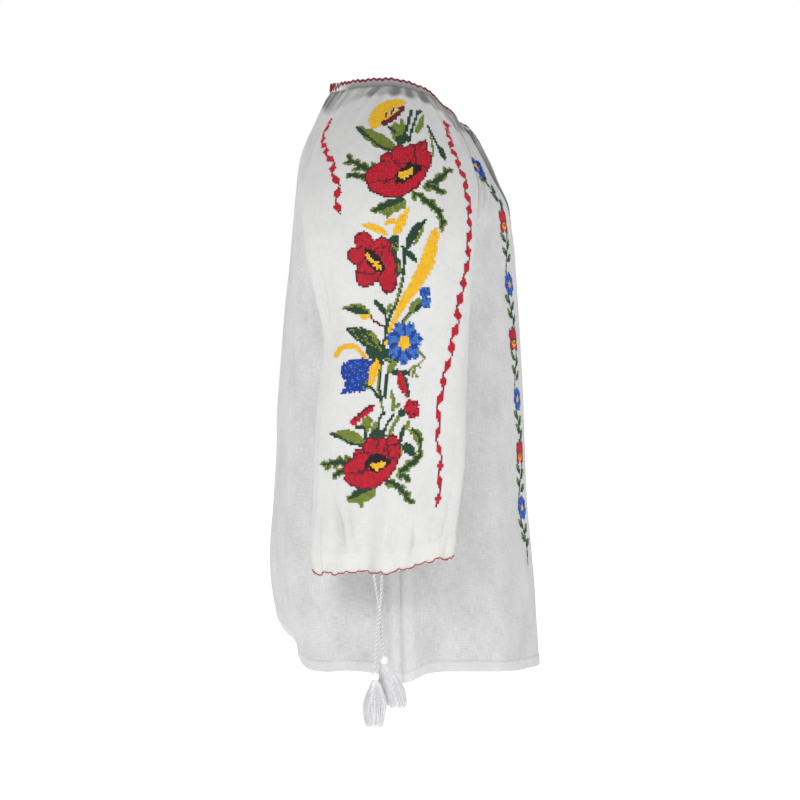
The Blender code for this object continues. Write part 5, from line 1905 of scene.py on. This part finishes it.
def embroider(panel, charts, flip):
    """Crosses for every thread on some charts, or the same turned over to the left side."""
    made = []
    for number, (colour, cotton) in COTTONS.items():
        parts = []
        for chart in charts:
            j, i = np.nonzero(chart.cells == number)
            if len(j):
                corner = chart.corners
                low, high = corner[j, i], corner[j + 1, i + 1]
                before, after = corner[j + 1, i], corner[j, i + 1]
                parts.append(shade_squares(np.stack([low, after, high, before], axis=1)))
                parts.append(strands(after, before, UNDER_THREAD))
                parts.append(strands(low, high, TOP_THREAD))
        if parts:
            parts = mirrored(parts) if flip else parts
            item = piece(f"{panel}_{colour}_stitches", parts, cotton)
            # Each part gets its painted shade from its table: squares, lower thread or top thread.
            shades = []
            for k, (points, _) in enumerate(parts):
                pattern = STITCH_SHADINGS[k % len(STITCH_SHADINGS)]
                shades.append(np.tile(pattern, len(points) // len(pattern)))
            painted_thread_shade = item.data.attributes.new("painted_thread_shade", "FLOAT", "POINT")
            painted_thread_shade.data.foreach_set("value", np.concatenate(shades))
            made.append(item)
    print(panel, "stitches in", len(made), "threads")
    return made


right_stitches = embroider("right_sleeve", [sew, *chains], False)
left_stitches = embroider("left_sleeve", [sew, *chains], True)
front_stitches = embroider("right_front", columns[:1], False)
front_stitches += embroider("left_front", columns[1:], False)

# %% [markdown]
# Zigzag on the neck band, scallops at the cuffs and openwork at the slit
#
# The neck band is oversewn with thick wine-red thread. At the back the strokes are nearly as tall as
# the band, and over the shoulders they only hold its top edge. A thinner claret thread runs along
# the lower edge of the casing, with a small loop at each gather.
#
# Beside the slit the linen is worked open, with small slanting bars of white thread on both halves.

# %% Oversew the neck band
ZIGZAG_STEP = 0.0034
ZIGZAG_RADIUS = 0.00108
zigzag_angles = np.interp(np.arange(0.004, walk[-1] - 0.004, ZIGZAG_STEP), walk, band_angles)
spots, ups, outs = band_frame(zigzag_angles)
behind = ease((folded(zigzag_angles) - 138.0) / 20.0)
number = np.arange(len(spots))
share = np.where(number % 2, 0.93 + 0.02 * behind, 0.70 - 0.58 * behind) + 0.05 * np.sin(7.3 * number)
spots = spots + ups * (BAND_HEIGHT * share)[:, None] + outs * 0.0003
strokes = []
for k in range(len(spots) - 1):
    start, end = spots[k] - outs[k] * 0.0008, spots[k + 1] - outs[k + 1] * 0.0008
    line = np.array([start, spots[k], lerp(spots[k], spots[k + 1], 0.5), spots[k + 1], end])
    strokes.append(tube_mesh(tube_rings(line, ZIGZAG_RADIUS * (1.0 - 0.4 * behind[k]), 6)))
wine_cotton = COTTONS[WINE][1]
band_stitches = piece("neck_band_stitches", strokes, wine_cotton)
print(len(strokes), "strokes on the neck band")

# %% Loop the lower edge of the cuffs
SCALLOP_RADIUS = 0.00058
LOOP_SPACING = 10.5
cuff_edge = cloth_lengths(sleeve, SLEEVE_MIDDLE)[0][0]
girth = cuff_edge[-1] - cuff_edge[0]
edge_corners = cell_corners(sleeve, SLEEVE_MIDDLE, cuff_edge[0], 0.0, girth, PITCH)
along = STITCH * np.arange(len(edge_corners[0]))
loop = (along + 1.5 * np.sin(along / 17.0)) % LOOP_SPACING
share = 0.30 + 0.10 * np.sin(along * 0.9) + 0.9 * np.exp(-(((loop - 5.0) / 1.3) ** 2))
line = lerp(edge_corners[0], edge_corners[1], share)
line = line[:, :3] + line[:, 3:] * 0.00025
dense, _ = smooth_route(line, 3 * len(line))
scallop = [tube_mesh(tube_rings(dense, SCALLOP_RADIUS, 5))]
claret_cotton = thread("claret_cotton", (0.22, 0.012, 0.022), (0.46, 0.035, 0.055), sheen=0.1)
right_stitches.append(piece("right_cuff_stitches", scallop, claret_cotton))
left_stitches.append(piece("left_cuff_stitches", mirrored(scallop), claret_cotton))
print("cuff edge", f"{along[-1]:.0f} mm round")

# %% Openwork along the slit
openwork = []
for grid, centre, left, inside in (
    (right_front, HALF_COLUMNS, -0.0135, False), (left_front, 0, 0.0015, False),
    (left_front, 0, 0.0015, True),
):
    corner = cell_corners(grid, centre, left, 0.500, 0.0126, 0.093)
    if inside:
        corner[..., :3] -= corner[..., 3:] * (CLOTH + SHELL_INSET)
        corner[..., 3:] *= -1.0
    rows, columns = np.mgrid[0 : len(corner) - 1, 0 : len(corner[0]) - 1]
    chosen = (rows + columns) % 2 == 0
    j, i = rows[chosen], columns[chosen]
    openwork.append(strands(corner[j, i], corner[j + 1, i + 1], TOP_THREAD))
front_stitches.append(piece("slit_openwork", openwork, cord_cotton))
print("openwork with", sum(len(points) // 8 for points, _ in openwork), "bars")

# %% [markdown]
# Light and floor
#
# The photo is a plain cut-out on white, lit softly, with more light from its left. A pale world light
# does most of the work. Three soft lamps shape the folds: a key from the left and above, a fill
# from the blouse's front, and one over the shoulder. A pale floor lies well below the tassels. It
# glows a little, so that it reaches the white of the world behind it without a visible edge.

# %% Floor and lights
def lamp(name, place, aim, size, energy):
    data = bpy.data.lights.new(name, "AREA")
    data.shape = "DISK"
    data.size = size
    data.energy = energy
    item = bpy.data.objects.new(name, data)
    bpy.context.collection.objects.link(item)
    item.location = place
    item.rotation_euler = (Vector(aim) - Vector(place)).to_track_quat("-Z", "Y").to_euler()
    return item


AMBIENT = 0.40
FLOOR_GLOW = 0.78
FLOOR_HEIGHT = -0.80
FLOOR_RADIUS = 40.0
world = bpy.data.worlds.new("studio")
world.use_nodes = True
background = world.node_tree.nodes["Background"]
background.inputs["Color"].default_value = (1.0, 1.0, 1.0, 1.0)
seen = add(world.node_tree, "ShaderNodeLightPath").outputs["Is Camera Ray"]
strength = maths(world.node_tree, "MULTIPLY_ADD", seen, 1.0 - AMBIENT, AMBIENT)
world.node_tree.links.new(strength, background.inputs["Strength"])
bpy.context.scene.world = world
lamp("key", (-2.6, 1.1, 0.8), aim=(0.0, 0.0, -0.3), size=1.0, energy=28.0)
lamp("fill", (-1.6, -2.4, 0.1), aim=(0.0, 0.0, -0.3), size=1.6, energy=15.0)
lamp("top", (-1.0, 0.2, 2.2), aim=(0.0, 0.0, -0.2), size=1.6, energy=7.0)

pale, pale_tree, pale_shader = principled("pale_floor", (0.93, 0.93, 0.93), 0.9)
grit = add(pale_tree, "ShaderNodeTexNoise", {"Scale": 60.0, "Detail": 2.0})
tone = mixed(pale_tree, grit.outputs["Fac"], (0.91, 0.91, 0.91, 1), (0.95, 0.95, 0.95, 1))
pale_tree.links.new(tone, pale_shader.inputs["Base Color"])
pale_shader.inputs["Emission Color"].default_value = (1.0, 1.0, 1.0, 1.0)
pale_shader.inputs["Emission Strength"].default_value = FLOOR_GLOW
floor_mesh = bmesh.new()
bmesh.ops.create_circle(floor_mesh, cap_ends=True, segments=96, radius=FLOOR_RADIUS)
mesh = bpy.data.meshes.new("floor")
floor_mesh.to_mesh(mesh)
floor_mesh.free()
mesh.materials.append(pale)
floor = bpy.data.objects.new("floor", mesh)
floor.location = (0.0, 0.0, FLOOR_HEIGHT)
bpy.context.collection.objects.link(floor)
bpy.context.scene.view_settings.view_transform = "Standard"
print("world light, three lamps and a floor")
